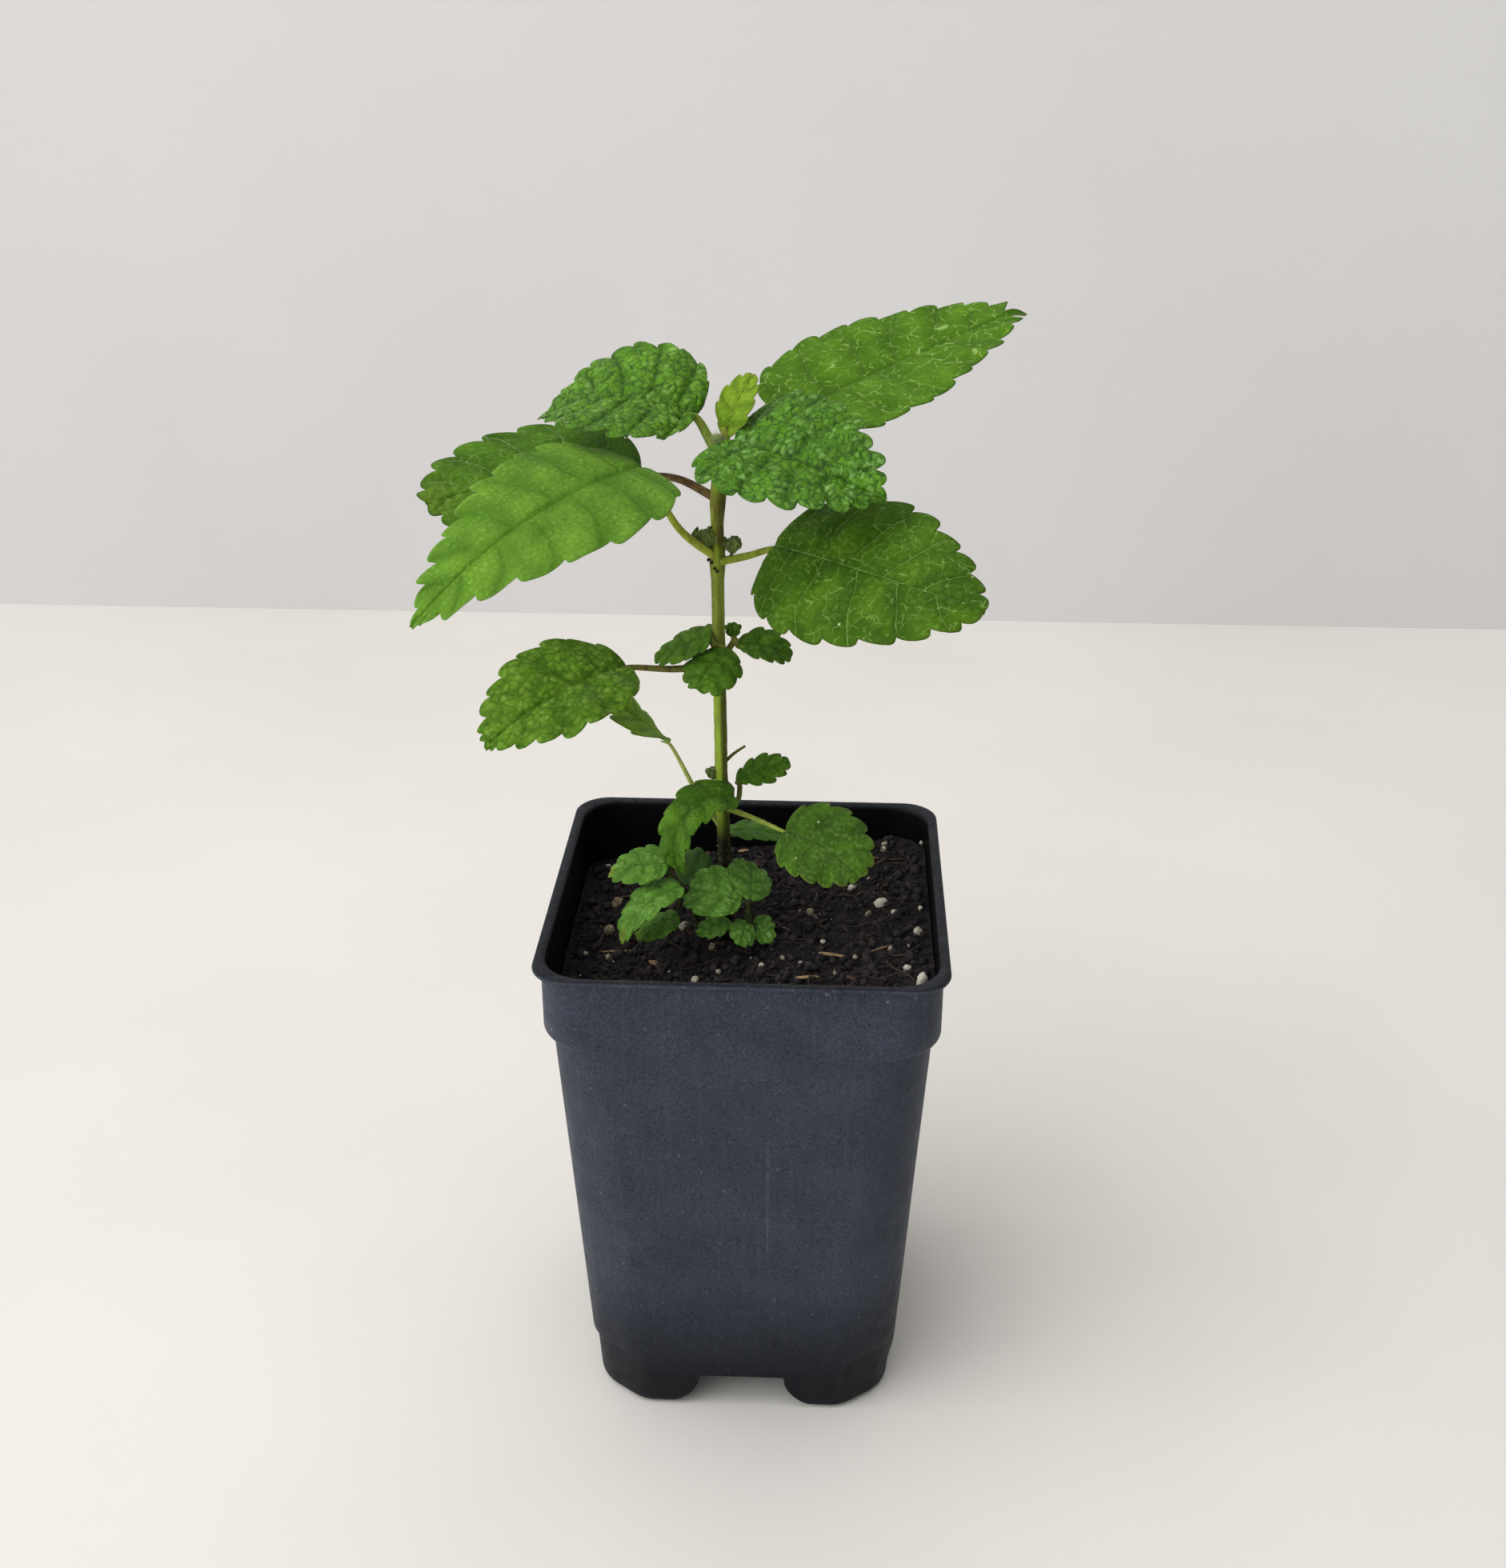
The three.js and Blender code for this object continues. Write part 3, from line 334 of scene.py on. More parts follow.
def blade_spine(leaf, share, hook):
    """Points of the midrib and the directions along it, to its left and above it, a row for each share."""

    def climb(part):
        bent = smoothstep(part, hook[0], 1) * hook[2] if hook else 0
        return leaf["climb"] + leaf["droop"] * part + bent

    halfway = (share[1:] + share[:-1]) / 2
    steps = direction(leaf["heading"] + leaf["turn"] * halfway, climb(halfway))
    steps = steps * (leaf["length"] * np.diff(share))[:, None]
    base = np.array([leaf["x"], leaf["y"], leaf["z"]])
    middle = base + np.concatenate([np.zeros((1, 3)), np.cumsum(steps, 0)])
    turn = leaf["heading"] + leaf["turn"] * share
    along = direction(turn, climb(share))
    level = direction(turn + 90, 0 * turn)
    raised = np.cross(along, level)
    roll = np.radians(leaf["roll"] + leaf["twist"] * share)[:, None]
    left = level * np.cos(roll) + raised * np.sin(roll)
    above = raised * np.cos(roll) - level * np.sin(roll)
    return middle, along, left, above


def blade_teeth(share, counts, tooth, crest, smooth, seed):
    """How far the teeth of the right and left edge stand out, and how far they lean forward."""
    rng = np.random.default_rng(seed)
    fit = np.minimum(1, smooth / (3 * tooth))
    out, forward = [], []
    for count in counts:
        place = np.minimum(share * count, count - 1e-6) % 1
        rise = np.sin(np.pi / 2 * np.minimum(1, place / crest)) ** 0.75
        depth = rise * np.sqrt(1 - np.clip((place - crest) / (1 - crest), 0, 1) ** 2)
        vary = rng.uniform(0.75, 1.3, count)[np.minimum(share * count, count - 1).astype(int)]
        out.append(tooth * (vary * depth - 0.6) * fit)
        forward.append(0.4 * tooth * depth * fit)
    return out, forward


def blade_veins(size, share, q, flat, spacing, veins, cells, seed):
    """Ribs, puffed cells and the swelling between side veins, all about 0 to 1, and the veins' phase."""
    reach = np.abs(q)[None, :]
    bend = 0.35 * reach ** 2 + 0.12 * wobble(flat, 6.0, seed)
    phase = veins * share[:, None] - bend + np.where(q < 0, 0.2, 0.55)[None, :]
    from_vein = np.abs(phase - np.round(phase)) * spacing
    from_midrib = np.abs(flat[..., 0])
    drift = np.stack([wobble(flat, 1.8 * cells, seed + k) for k in (1, 2)], -1)
    from_net = cell_borders(flat + 0.35 * cells * drift, cells, seed)
    midrib = np.exp(-(from_midrib / (0.7 * size * (1.15 - 0.75 * share[:, None]))) ** 2)
    side = np.exp(-(from_vein / (0.5 * size * (1.1 - 0.6 * reach))) ** 2) * (reach < 0.97)
    puff = smoothstep(from_net, 0, 0.32 * cells) * (0.75 + 0.5 * wobble(flat, 3.5, seed + 4))
    swell = smoothstep(from_vein, 0, 0.45 * spacing) * smoothstep(from_midrib, 0, 2.6 * size)
    return np.maximum(midrib, 0.7 * side), puff, swell, phase


def closed_sheet(top, bottom):
    """Points and faces of two grids joined by a wall round their edge."""
    rows, columns = top.shape[:2]
    count = rows * columns
    upper = grid_faces(rows, columns)
    ring = np.concatenate([
        np.arange(rows) * columns, (rows - 1) * columns + np.arange(1, columns),
        (np.arange(rows - 2, -1, -1)) * columns + columns - 1, np.arange(columns - 2, 0, -1)])
    after = np.roll(ring, -1)
    wall = np.stack([ring + count, after + count, after, ring], -1)
    points = np.concatenate([top.reshape(-1, 3), bottom.reshape(-1, 3)])
    return points, [upper[:, ::-1], upper + count, wall]


def blade(terms, seed, per_tooth, half_columns, quilt, veins, wave=0.25, thickness=0.34, cells=1.7,
          dip=0.3, crest=0.68, gain=1.0, hook=None, left_teeth=None):
    """A leaf blade with crenate edges, a sunken midrib and side veins, and puffed cells between them.

    per_tooth and half_columns set the fineness. crest is where a tooth is widest, gain scales its depth,
    and a hook is where the narrow end of the tip starts, its half width and its bend.
    """
    leaf = dict(zip(BLADE_TERMS, terms))
    length, teeth, tooth = leaf["length"], int(leaf["teeth"]), leaf["tooth"] * gain
    t = np.arange(teeth * per_tooth + 1) / per_tooth
    share = t / teeth
    middle, along, left, above = blade_spine(leaf, share, hook)
    skew = math.log(0.5) / math.log(leaf["widest"])
    smooth = leaf["width"] / 2 * np.clip(np.sin(np.pi * share ** skew), 0, 1) ** leaf["point"]
    q = np.linspace(-1, 1, 2 * half_columns + 1)
    reach = np.abs(q)[None, :]
    out, forward = (np.where(q < 0, sides[0][:, None], sides[1][:, None]) for sides in
                    blade_teeth(share, (teeth, left_teeth or teeth), tooth, crest, smooth, seed))
    half = np.maximum(LEAST_HALF * reach, smooth[:, None] * reach + out * reach ** 6)
    if hook:
        tail = np.clip((1 - share) / (1 - hook[0]), 0, 1)
        limit = np.where(share > hook[0], hook[1] * tail ** 0.6 + 0.2, 99)
        half = np.minimum(half, limit[:, None] * reach)
    rib_angle = np.radians(RIB_ANGLE[0] + (RIB_ANGLE[1] - RIB_ANGLE[0]) * share)[:, None]
    across = half * np.sign(q)[None, :] * np.sin(rib_angle)
    onward = half * np.cos(rib_angle) + forward * reach ** 8
    lift = np.maximum(LEAST_HALF, smooth)[:, None] * (leaf["fold"] * reach - leaf["camber"] * reach ** 2)

    flat = np.stack([across, length * share[:, None] + onward], -1)
    spacing = length / veins * np.sin(rib_angle)
    size = min(1.0, length / FULL_LENGTH)
    ribs, puff, swell, phase = blade_veins(size, share, q, flat, spacing, veins, cells, seed)
    ripple = wave * reach ** 2 * np.sin(np.pi * t[:, None] + 3 * seed + 2 * (q[None, :] > 0))
    relief = quilt * (puff + 1.4 * swell) * (1 - 0.5 * reach ** 4) - dip * size * ribs
    relief = relief + ripple * size + 0.3 * size * wobble(flat, 9.0, seed + 3)
    surface = (middle[:, None] + along[:, None] * onward[..., None] + left[:, None] * across[..., None]
               + above[:, None] * (lift + relief)[..., None])
    normal = np.cross(np.gradient(surface, axis=1), np.gradient(surface, axis=0))
    normal = normal / np.maximum(np.linalg.norm(normal, axis=-1, keepdims=True), 1e-9)
    normal *= np.sign((normal * above[:, None]).sum(-1, keepdims=True) + 1e-9)
    rim = np.clip(1 - (1 - reach) * half.max(1, keepdims=True) / RIM_WIDTH, 0, 1)
    rim = np.maximum(rim, 1 - np.minimum(1, (1 - share[:, None]) * length / RIM_WIDTH))
    half_body = thickness * (1 - 0.55 * rim ** 2) / 2
    top = surface + normal * half_body[..., None]
    bottom = surface - normal * (half_body + 0.25 * size * ribs)[..., None]
    found = dict(rib=ribs, rim=rim, hump=puff * 0.6 + swell * 0.4, share=share[:, None], across=across,
                 along=flat[..., 1] + 41 * (seed % 7), phase=phase, gap=spacing)
    marks = {key: np.tile(np.broadcast_to(value, rim.shape).ravel(), 2) for key, value in found.items()}
    marks["under"] = np.repeat([0.0, 1.0], rim.size)
    return *closed_sheet(top, bottom), marks


def petiole(start, terms, radius, arch=0.0):
    """A stalk from the stem to a little way along the underside of the blade."""
    leaf = dict(zip(BLADE_TERMS, terms))
    keel = min(max(leaf["length"] * KEEL_SHARE, KEEL_LENGTHS[0]), KEEL_LENGTHS[1])
    base = np.array([leaf["x"], leaf["y"], leaf["z"]])
    under = []
    for reach, sunk in zip((0, keel / 2, keel), KEEL_SUNK):
        part = reach / leaf["length"] / 2
        along = direction(leaf["heading"] + leaf["turn"] * part, leaf["climb"] + leaf["droop"] * part)
        under.append(base + along * reach - UP * (radius * KEEL_DEPTH + sunk))
    middle = (np.array(start) + base) / 2 + UP * arch
    path = smooth_path([start, middle] + under, STALK_STEPS)
    share = np.linspace(0, 1, STALK_STEPS + 1)
    radii = radius * (PETIOLE_TAPER[0] + (PETIOLE_TAPER[1] - PETIOLE_TAPER[0]) * share)
    radii[share > 0.9] *= np.linspace(1, 0.3, (share > 0.9).sum())
    return marked(tube(path, radii), "stalk", 1), path, radii


# Materials

def srgb(r, g, b):
    """A colour given as it is seen on a screen, 0 to 255, turned into linear light."""
    return tuple(c / 255 / 12.92 if c <= 10.3 else ((c / 255 + 0.055) / 1.055) ** 2.4
                 for c in (r, g, b)) + (1.0,)


class Nodes:
    """A node material built in a few calls. Its textures are laid out in millimetres, its colours are
    given as they are seen on a screen."""

    def __init__(self, name, **constant):
        self.material = bpy.data.materials.new(name)
        self.material.use_nodes = True
        self.tree = self.material.node_tree
        self.shader = self.tree.nodes["Principled BSDF"]
        for key, value in constant.items():
            self.shader.inputs[key.replace("_", " ")].default_value = value
        self.place = self.vector("MULTIPLY", self.add("ShaderNodeTexCoord").outputs["Object"], (1 / MM,) * 3)

    def add(self, kind, inputs=(), **settings):
        node = self.tree.nodes.new(kind)
        for key, value in settings.items():
            setattr(node, key, value)
        for key, value in dict(inputs).items():
            if isinstance(value, bpy.types.NodeSocket):
                self.tree.links.new(value, node.inputs[key])
            else:
                node.inputs[key].default_value = value
        return node

    def mark(self, name):
        return self.add("ShaderNodeAttribute", attribute_name=name).outputs["Fac"]

    def parts(self, vector):
        return self.add("ShaderNodeSeparateXYZ", {0: vector}).outputs[:3]

    def math(self, operation, a, b=0.0, clamp=False):
        return self.add("ShaderNodeMath", {0: a, 1: b}, operation=operation, use_clamp=clamp).outputs[0]

    def vector(self, operation, a, b, output=0):
        return self.add("ShaderNodeVectorMath", {0: a, 1: b}, operation=operation).outputs[output]

    def times(self, product, *others):
        for other in others:
            product = self.math("MULTIPLY", product, other)
        return product

    def stretched(self, x, y, z):
        return self.vector("MULTIPLY", self.place, (x, y, z))

    def noise(self, size, detail=3.0, rough=0.5, place=None):
        return self.add("ShaderNodeTexNoise", {"Vector": place or self.place, "Scale": 1 / size,
                                               "Detail": detail, "Roughness": rough}).outputs["Fac"]

    def cells(self, size, feature="F1", output="Distance", place=None):
        return self.add("ShaderNodeTexVoronoi", {"Vector": place or self.place, "Scale": 1 / size},
                        feature=feature).outputs[output]

    def chance(self, size, place=None):
        """A fixed value from 0 to 1 for each cell."""
        return self.add("ShaderNodeTexWhiteNoise", {"Vector": self.cells(size, "F1", "Position", place)},
                        noise_dimensions="3D").outputs["Value"]

    def ramp(self, value, low, high, start=0.0, end=1.0):
        return self.add("ShaderNodeMapRange", {0: value, 1: low, 2: high, 3: start, 4: end},
                        clamp=True).outputs[0]

    def mix(self, share, a, b, blend="MIX"):
        a, b = (srgb(*colour) if isinstance(colour, tuple) else colour for colour in (a, b))
        return self.add("ShaderNodeMix", {0: share, 6: a, 7: b}, data_type="RGBA", blend_type=blend,
                        clamp_factor=True).outputs[2]

    def tint(self, colour, target, *shares):
        """The colour drawn towards the target by the product of the shares."""
        return self.mix(self.times(*shares), colour, target)

    def finish(self, colour, roughness, height=None, depth=0.1, strength=1.0):
        """Joins colour, roughness and a bump height (0 to 1, depth in millimetres) to the shader."""
        self.tree.links.new(colour, self.shader.inputs["Base Color"])
        self.tree.links.new(roughness, self.shader.inputs["Roughness"])
        if height is not None:
            bump = self.add("ShaderNodeBump", {"Height": height, "Distance": depth * MM,
                                               "Strength": strength})
            self.tree.links.new(bump.outputs[0], self.shader.inputs["Normal"])
        return self.material


def leaf_material(name, face, deep, pale, vein, line=0.16, vein_share=0.5, groove_shade_and_fleck=(58, 96, 26),
                  groove_shade_share=0.3, groove_shade_width=1.1, net_share=0.25, net_size=2.6, mottle_and_highlight=0.2, fine=0.4,
                  bullate_shade_and_highlight=0.0, cell_size=1.3, specks=0.0, margin=(60, 90, 30), margin_share=0.5, tip=None,
                  stalk=(130, 140, 60), stalk_dark=(90, 80, 45), shine=0.55, gloss=0.06):
    """Green blade and its stalk. vein is the colour of the thin veins; the dark green of the broad hollows
    along them is painted shade, and it also gives dark flecks and the painted shade between puffed cells.
    Pale bits on the humps are partly the leaf's own mottling and partly painted highlight; pale cell tops
    are painted highlight. net is the mesh of small veins, fine the depth of the smallest quilting."""
    n = Nodes(name, Sheen_Weight=0.01, Sheen_Roughness=0.5, Specular_IOR_Level=gloss)
    rim, hump, share, across, phase = (n.mark(key) for key in ("rim", "hump", "share", "across", "phase"))
    flat = n.add("ShaderNodeCombineXYZ", {0: across, 1: n.mark("along")}).outputs[0]
    drift = n.add("ShaderNodeTexNoise", {"Vector": flat, "Scale": 0.45, "Detail": 2.0}).outputs["Color"]
    warped = n.vector("ADD", n.vector("MULTIPLY", drift, (2.2, 2.2, 0)), flat)
    turned = n.math("FRACT", n.math("ADD", phase, 0.5))
    from_side = n.times(n.math("ABSOLUTE", n.math("SUBTRACT", turned, 0.5)), n.mark("gap"))
    from_middle = n.math("DIVIDE", n.math("ABSOLUTE", across), n.ramp(share, 0.0, 1.0, 1.3, 0.5))
    near = n.math("MINIMUM", from_middle, n.times(from_side, 1.35))

    colour = n.mix(n.ramp(n.noise(7.0, 4.0), 0.38, 0.62), face, deep)
    # Painted shade: darker in the low hollows between the puffed humps and along the veins.
    colour = n.mix(n.ramp(hump, 0.0, 0.85, 0.6, 0.0), colour,
                   n.mix(1.0, colour, (175, 185, 160), "MULTIPLY"))
    # Painted shade in the broad hollows along the veins, uneven along their length.
    uneven = n.ramp(n.noise(5.0, 3.0), 0.35, 0.6, 0.35, 1.0)
    colour = n.tint(colour, groove_shade_and_fleck, n.ramp(near, groove_shade_width, 0.0), uneven, groove_shade_share)
    # Pale bits, most of all on the humps: partly the leaf's own mottling, partly painted highlight.
    patchy = n.ramp(n.noise(9.0, 2.0), 0.35, 0.65, 0.3, 1.0)
    bits = n.ramp(n.noise(0.7, 5.0, 0.7), 0.5, 0.68)
    colour = n.tint(colour, pale, bits, patchy, n.ramp(hump, 0.3, 0.95), mottle_and_highlight)
    colour = n.tint(colour, groove_shade_and_fleck, n.ramp(n.noise(0.8, 4.0, 0.7), 0.4, 0.25, 0.0, 0.55))
    net = n.cells(net_size, feature="DISTANCE_TO_EDGE", place=warped)
    threads = n.ramp(n.noise(1.6, 3.0), 0.44, 0.56)
    colour = n.tint(colour, vein, n.ramp(net, 0.03, 0.008), threads, net_share)
    broken = n.ramp(n.noise(2.6, 3.0), 0.38, 0.56, 0.25, 1.0)
    colour = n.tint(colour, vein, n.ramp(near, line, 0.35 * line), broken, vein_share)
    # Painted shade in the creases between the small puffed cells, and painted highlight on the tops of some
    # of them.
    if bullate_shade_and_highlight:
        cell_crease_shade = n.cells(cell_size, feature="DISTANCE_TO_EDGE", place=warped)
        faint = n.ramp(n.noise(1.8, 3.0), 0.35, 0.6, 0.2, 1)
        colour = n.tint(colour, groove_shade_and_fleck, n.ramp(cell_crease_shade, 0.16, 0.03), faint, bullate_shade_and_highlight)
        cell_top_highlight = n.ramp(n.cells(cell_size, place=warped), 0.6, 0.15)
        some = n.ramp(n.chance(cell_size, warped), 0.3, 0.9, 0, 0.8)
        colour = n.tint(colour, pale, cell_top_highlight, some, patchy, bullate_shade_and_highlight)
    if tip:
        frayed = n.ramp(n.noise(1.6, 5.0, 0.65), 0.38, 0.66, 0.15, 0.9)
        colour = n.tint(colour, tip, n.ramp(share, 0.75, 1.0), frayed)
    if specks:
        some = n.ramp(n.chance(2.6), 0.99 - specks, 1.01 - specks)
        colour = n.tint(colour, (198, 212, 150), n.ramp(n.cells(2.6), 0.15, 0.05), some)
    colour = n.tint(colour, margin, n.ramp(rim, 0.35, 1.0), margin_share)
    underside = n.tint(colour, (135, 160, 100), 0.35)
    underside = n.tint(underside, (165, 185, 125), n.mark("rib"), 0.5)
    colour = n.mix(n.mark("under"), colour, underside)
    streak = n.ramp(n.noise(1.2, 3.0, place=n.stretched(1, 1, 0.4)), 0.35, 0.65)
    colour = n.mix(n.mark("stalk"), colour, n.mix(streak, stalk, stalk_dark))
    grain = n.times(n.noise(0.28, 3.0, 0.6), 0.35)
    beads = n.ramp(n.cells(cell_size, feature="SMOOTH_F1", place=warped), 0.6, 0.1)
    rough = n.ramp(n.noise(2.0, 3.0), 0.3, 0.7, shine - 0.08, shine + 0.1)
    return n.finish(colour, rough, n.math("ADD", grain, n.times(beads, fine)), 0.22, 0.9)


LEAF_LOOKS = {
    "leaf_upper_back_right": dict(
        face=(88, 131, 26), deep=(73, 114, 20), pale=(120, 160, 62), vein=(146, 178, 94), line=0.12,
        vein_share=0.3, groove_shade_and_fleck=(42, 76, 16), groove_shade_share=0.6, groove_shade_width=0.8, net_share=0.8,
        net_size=3.4, mottle_and_highlight=0.35, fine=0.3, margin=(52, 84, 18), margin_share=0.7,
        stalk=(120, 130, 50), stalk_dark=(100, 95, 44)),
    "leaf_upper_back_left": dict(
        face=(82, 124, 26), deep=(64, 102, 20), pale=(116, 150, 56), vein=(146, 172, 108), line=0.18,
        vein_share=0.5, groove_shade_and_fleck=(46, 80, 18), groove_shade_share=0.4, groove_shade_width=0.9, net_share=0.4,
        net_size=2.6, mottle_and_highlight=0.5, fine=0.5, margin=(46, 76, 18), margin_share=0.7, tip=(112, 140, 42),
        stalk=(116, 96, 56), stalk_dark=(88, 62, 46)),
    "leaf_upper_front_left": dict(
        face=(107, 151, 45), deep=(90, 134, 38), pale=(144, 182, 86), vein=(70, 114, 30), line=0.35,
        vein_share=0.12, groove_shade_and_fleck=(62, 106, 22), groove_shade_share=0.5, groove_shade_width=1.7, net_share=0.1,
        mottle_and_highlight=0.9, fine=0.8, margin=(126, 164, 76), margin_share=0.35, stalk=(170, 182, 66),
        stalk_dark=(140, 140, 50)),
    "leaf_upper_front_right": dict(
        face=(76, 113, 19), deep=(60, 95, 15), pale=(132, 166, 76), vein=(140, 172, 88), line=0.15,
        vein_share=0.6, groove_shade_and_fleck=(40, 70, 12), groove_shade_share=0.4, net_share=0.5, net_size=3.0, mottle_and_highlight=0.6,
        fine=0.5, specks=0.08, margin=(64, 76, 20), margin_share=0.6, stalk=(142, 158, 52),
        stalk_dark=(112, 120, 42)),
    "leaf_tip_right": dict(
        face=(90, 142, 22), deep=(72, 120, 16), pale=(138, 186, 102), vein=(44, 80, 18), line=0.2,
        vein_share=0.4, groove_shade_and_fleck=(34, 66, 12), groove_shade_share=0.5, groove_shade_width=0.9, net_share=0.0, mottle_and_highlight=0.35,
        fine=1.6, bullate_shade_and_highlight=0.9, cell_size=1.6, margin=(62, 104, 26), stalk=(112, 144, 46),
        stalk_dark=(100, 116, 40), shine=0.42, gloss=0.12),
    "leaf_tip_left": dict(
        face=(97, 148, 24), deep=(76, 124, 18), pale=(136, 180, 88), vein=(38, 72, 14), line=0.26,
        vein_share=0.6, groove_shade_and_fleck=(34, 66, 12), groove_shade_share=0.6, groove_shade_width=1.0, net_share=0.0, mottle_and_highlight=0.3,
        fine=1.6, bullate_shade_and_highlight=0.85, cell_size=1.7, margin=(62, 100, 26), stalk=(112, 146, 48),
        stalk_dark=(116, 118, 46), shine=0.42, gloss=0.12),
    "leaf_middle_left": dict(
        face=(108, 151, 40), deep=(88, 129, 30), pale=(148, 178, 76), vein=(74, 110, 30), line=0.2,
        vein_share=0.4, groove_shade_and_fleck=(58, 92, 20), groove_shade_share=0.4, net_share=0.1, mottle_and_highlight=0.5, fine=1.0,
        bullate_shade_and_highlight=0.8, cell_size=1.9, margin=(66, 100, 26), stalk=(114, 114, 56), stalk_dark=(86, 76, 42)),
    "leaf_lower_back_left": dict(
        face=(146, 186, 60), deep=(120, 156, 46), pale=(152, 184, 84), vein=(120, 144, 70), mottle_and_highlight=0.5,
        stalk=(186, 198, 104), stalk_dark=(150, 160, 80)),
    "leaf_lower_hanging": dict(
        face=(94, 138, 36), deep=(72, 112, 28), pale=(122, 160, 70), vein=(70, 104, 28), vein_share=0.35,
        groove_shade_and_fleck=(48, 80, 16), groove_shade_share=0.5, mottle_and_highlight=1.0, fine=1.2, bullate_shade_and_highlight=0.4, stalk=(100, 110, 50),
        stalk_dark=(80, 76, 40)),
    "leaf_lower_front_right": dict(
        face=(87, 130, 30), deep=(68, 107, 24), pale=(136, 172, 86), vein=(130, 164, 80), line=0.15,
        vein_share=0.4, groove_shade_and_fleck=(46, 76, 16), net_share=0.35, mottle_and_highlight=0.9, fine=1.0, bullate_shade_and_highlight=0.5, specks=0.3,
        margin=(108, 118, 38), margin_share=0.6, stalk=(166, 186, 82), stalk_dark=(142, 158, 66),
        shine=0.42, gloss=0.12),
    "leaf_lower_back_right": dict(
        face=(94, 144, 49), deep=(73, 116, 39), pale=(118, 160, 80), vein=(104, 140, 70)),
    "axil_shoots": dict(
        face=(92, 133, 35), deep=(75, 112, 27), pale=(126, 162, 66), vein=(60, 92, 26), groove_shade_and_fleck=(52, 84, 20),
        groove_shade_share=0.5, mottle_and_highlight=0.4, fine=1.2, bullate_shade_and_highlight=0.6, stalk=(116, 124, 54), stalk_dark=(88, 86, 44)),
    "basal_shoots": dict(
        face=(108, 156, 60), deep=(90, 136, 48), pale=(142, 182, 94), vein=(68, 108, 34), groove_shade_and_fleck=(60, 98, 30),
        groove_shade_share=0.5, mottle_and_highlight=0.5, fine=1.2, bullate_shade_and_highlight=0.6, margin=(68, 108, 32), specks=0.06,
        tip=(146, 146, 56), stalk=(72, 84, 46), stalk_dark=(54, 56, 38)),
    # Painted light: a lighter copy of the basal shoots' greens, with whiter pale bits for a painted sheen.
    "basal_shoot_right": dict(
        face=(124, 176, 74), deep=(104, 154, 60), pale=(176, 212, 132), vein=(74, 116, 40),
        groove_shade_and_fleck=(66, 106, 36), groove_shade_share=0.5, mottle_and_highlight=0.8, fine=1.2, bullate_shade_and_highlight=0.6, margin=(74, 116, 38),
        specks=0.06, stalk=(66, 78, 42), stalk_dark=(50, 52, 34)),
    # Painted shade: a darker copy of the basal shoots' greens, for the shoot behind the others.
    "basal_shoot_back": dict(
        face=(60, 90, 36), deep=(44, 68, 26), pale=(80, 108, 60), vein=(70, 98, 52), stalk=(56, 64, 40),
        stalk_dark=(42, 44, 32)),
    "tip_shoot": dict(
        face=(132, 164, 42), deep=(112, 146, 32), pale=(164, 188, 82), vein=(92, 120, 30), vein_share=0.5,
        groove_shade_and_fleck=(70, 96, 22), groove_shade_share=0.5, mottle_and_highlight=0.4, fine=0.8, bullate_shade_and_highlight=0.3, cell_size=0.9,
        margin=(122, 118, 40), stalk=(136, 144, 54), stalk_dark=(112, 112, 46)),
}


def stem_material():
    n = Nodes("stem_skin", Sheen_Weight=0.02, Specular_IOR_Level=0.12)
    height = n.math("ADD", n.parts(n.place)[2], FEET_LEVEL)
    # How far the skin faces right. The right side is painted browner and darker: partly the stem's own brown,
    # partly painted shade.
    right_brown_and_shade = n.mark("side")
    streak = n.ramp(n.noise(0.5, 4.0, place=n.stretched(1, 1, 0.05)), 0.35, 0.65)
    blotch = n.ramp(n.noise(2.5, 4.0, place=n.stretched(1, 1, 0.35)), 0.4, 0.62)
    green = n.mix(streak, (168, 196, 66), (142, 170, 52))
    brown_and_shade = n.mix(streak, (86, 100, 22), (72, 78, 18))
    middle = n.mix(n.ramp(right_brown_and_shade, -0.1, 0.5), green, brown_and_shade)
    olive = n.mix(streak, (128, 142, 48), (110, 122, 40))
    upper = n.mix(blotch, (136, 160, 42), (112, 106, 36))
    # Darker on the right side of the upper stem: partly its own brown, partly painted shade.
    upper = n.tint(upper, (62, 68, 22), n.ramp(right_brown_and_shade, 0.0, 0.6, 0.0, 0.7))
    colour = n.mix(n.ramp(height, 180, 184), middle, olive)
    colour = n.mix(n.ramp(height, 198, 206), colour, upper)
    colour = n.tint(colour, (128, 134, 52), n.ramp(height, 222, 227))
    # Near-black base below the lowest leaves: partly the old stem's own dark colour, partly painted shade
    # under the leaves.
    foot = n.mix(streak, (26, 32, 18), (16, 18, 12))
    colour = n.mix(n.ramp(height, 143, 136), colour, foot)
    colour = n.tint(colour, (88, 76, 40), blotch, 0.35)
    fine = n.noise(0.3, 4.0, 0.6, n.stretched(1, 1, 0.15))
    return n.finish(colour, n.ramp(blotch, 0, 1, 0.5, 0.65), fine, 0.12, 0.8)


def bud_material():
    n = Nodes("bud_skin", Sheen_Weight=0.15)
    colour = n.mix(n.ramp(n.noise(0.9, 4.0), 0.4, 0.62), (108, 128, 44), (74, 92, 34))
    colour = n.tint(colour, (58, 48, 28), n.ramp(n.noise(0.4, 3.0), 0.62, 0.7))
    return n.finish(colour, n.ramp(n.noise(0.5), 0, 1, 0.5, 0.7), n.noise(0.25, 4.0), 0.1)


def hair_material():
    n = Nodes("down_hairs")
    colour = n.mix(n.ramp(n.noise(1.5), 0.3, 0.7), (206, 214, 170), (168, 178, 120))
    return n.finish(colour, n.ramp(n.noise(1.0), 0, 1, 0.4, 0.6))


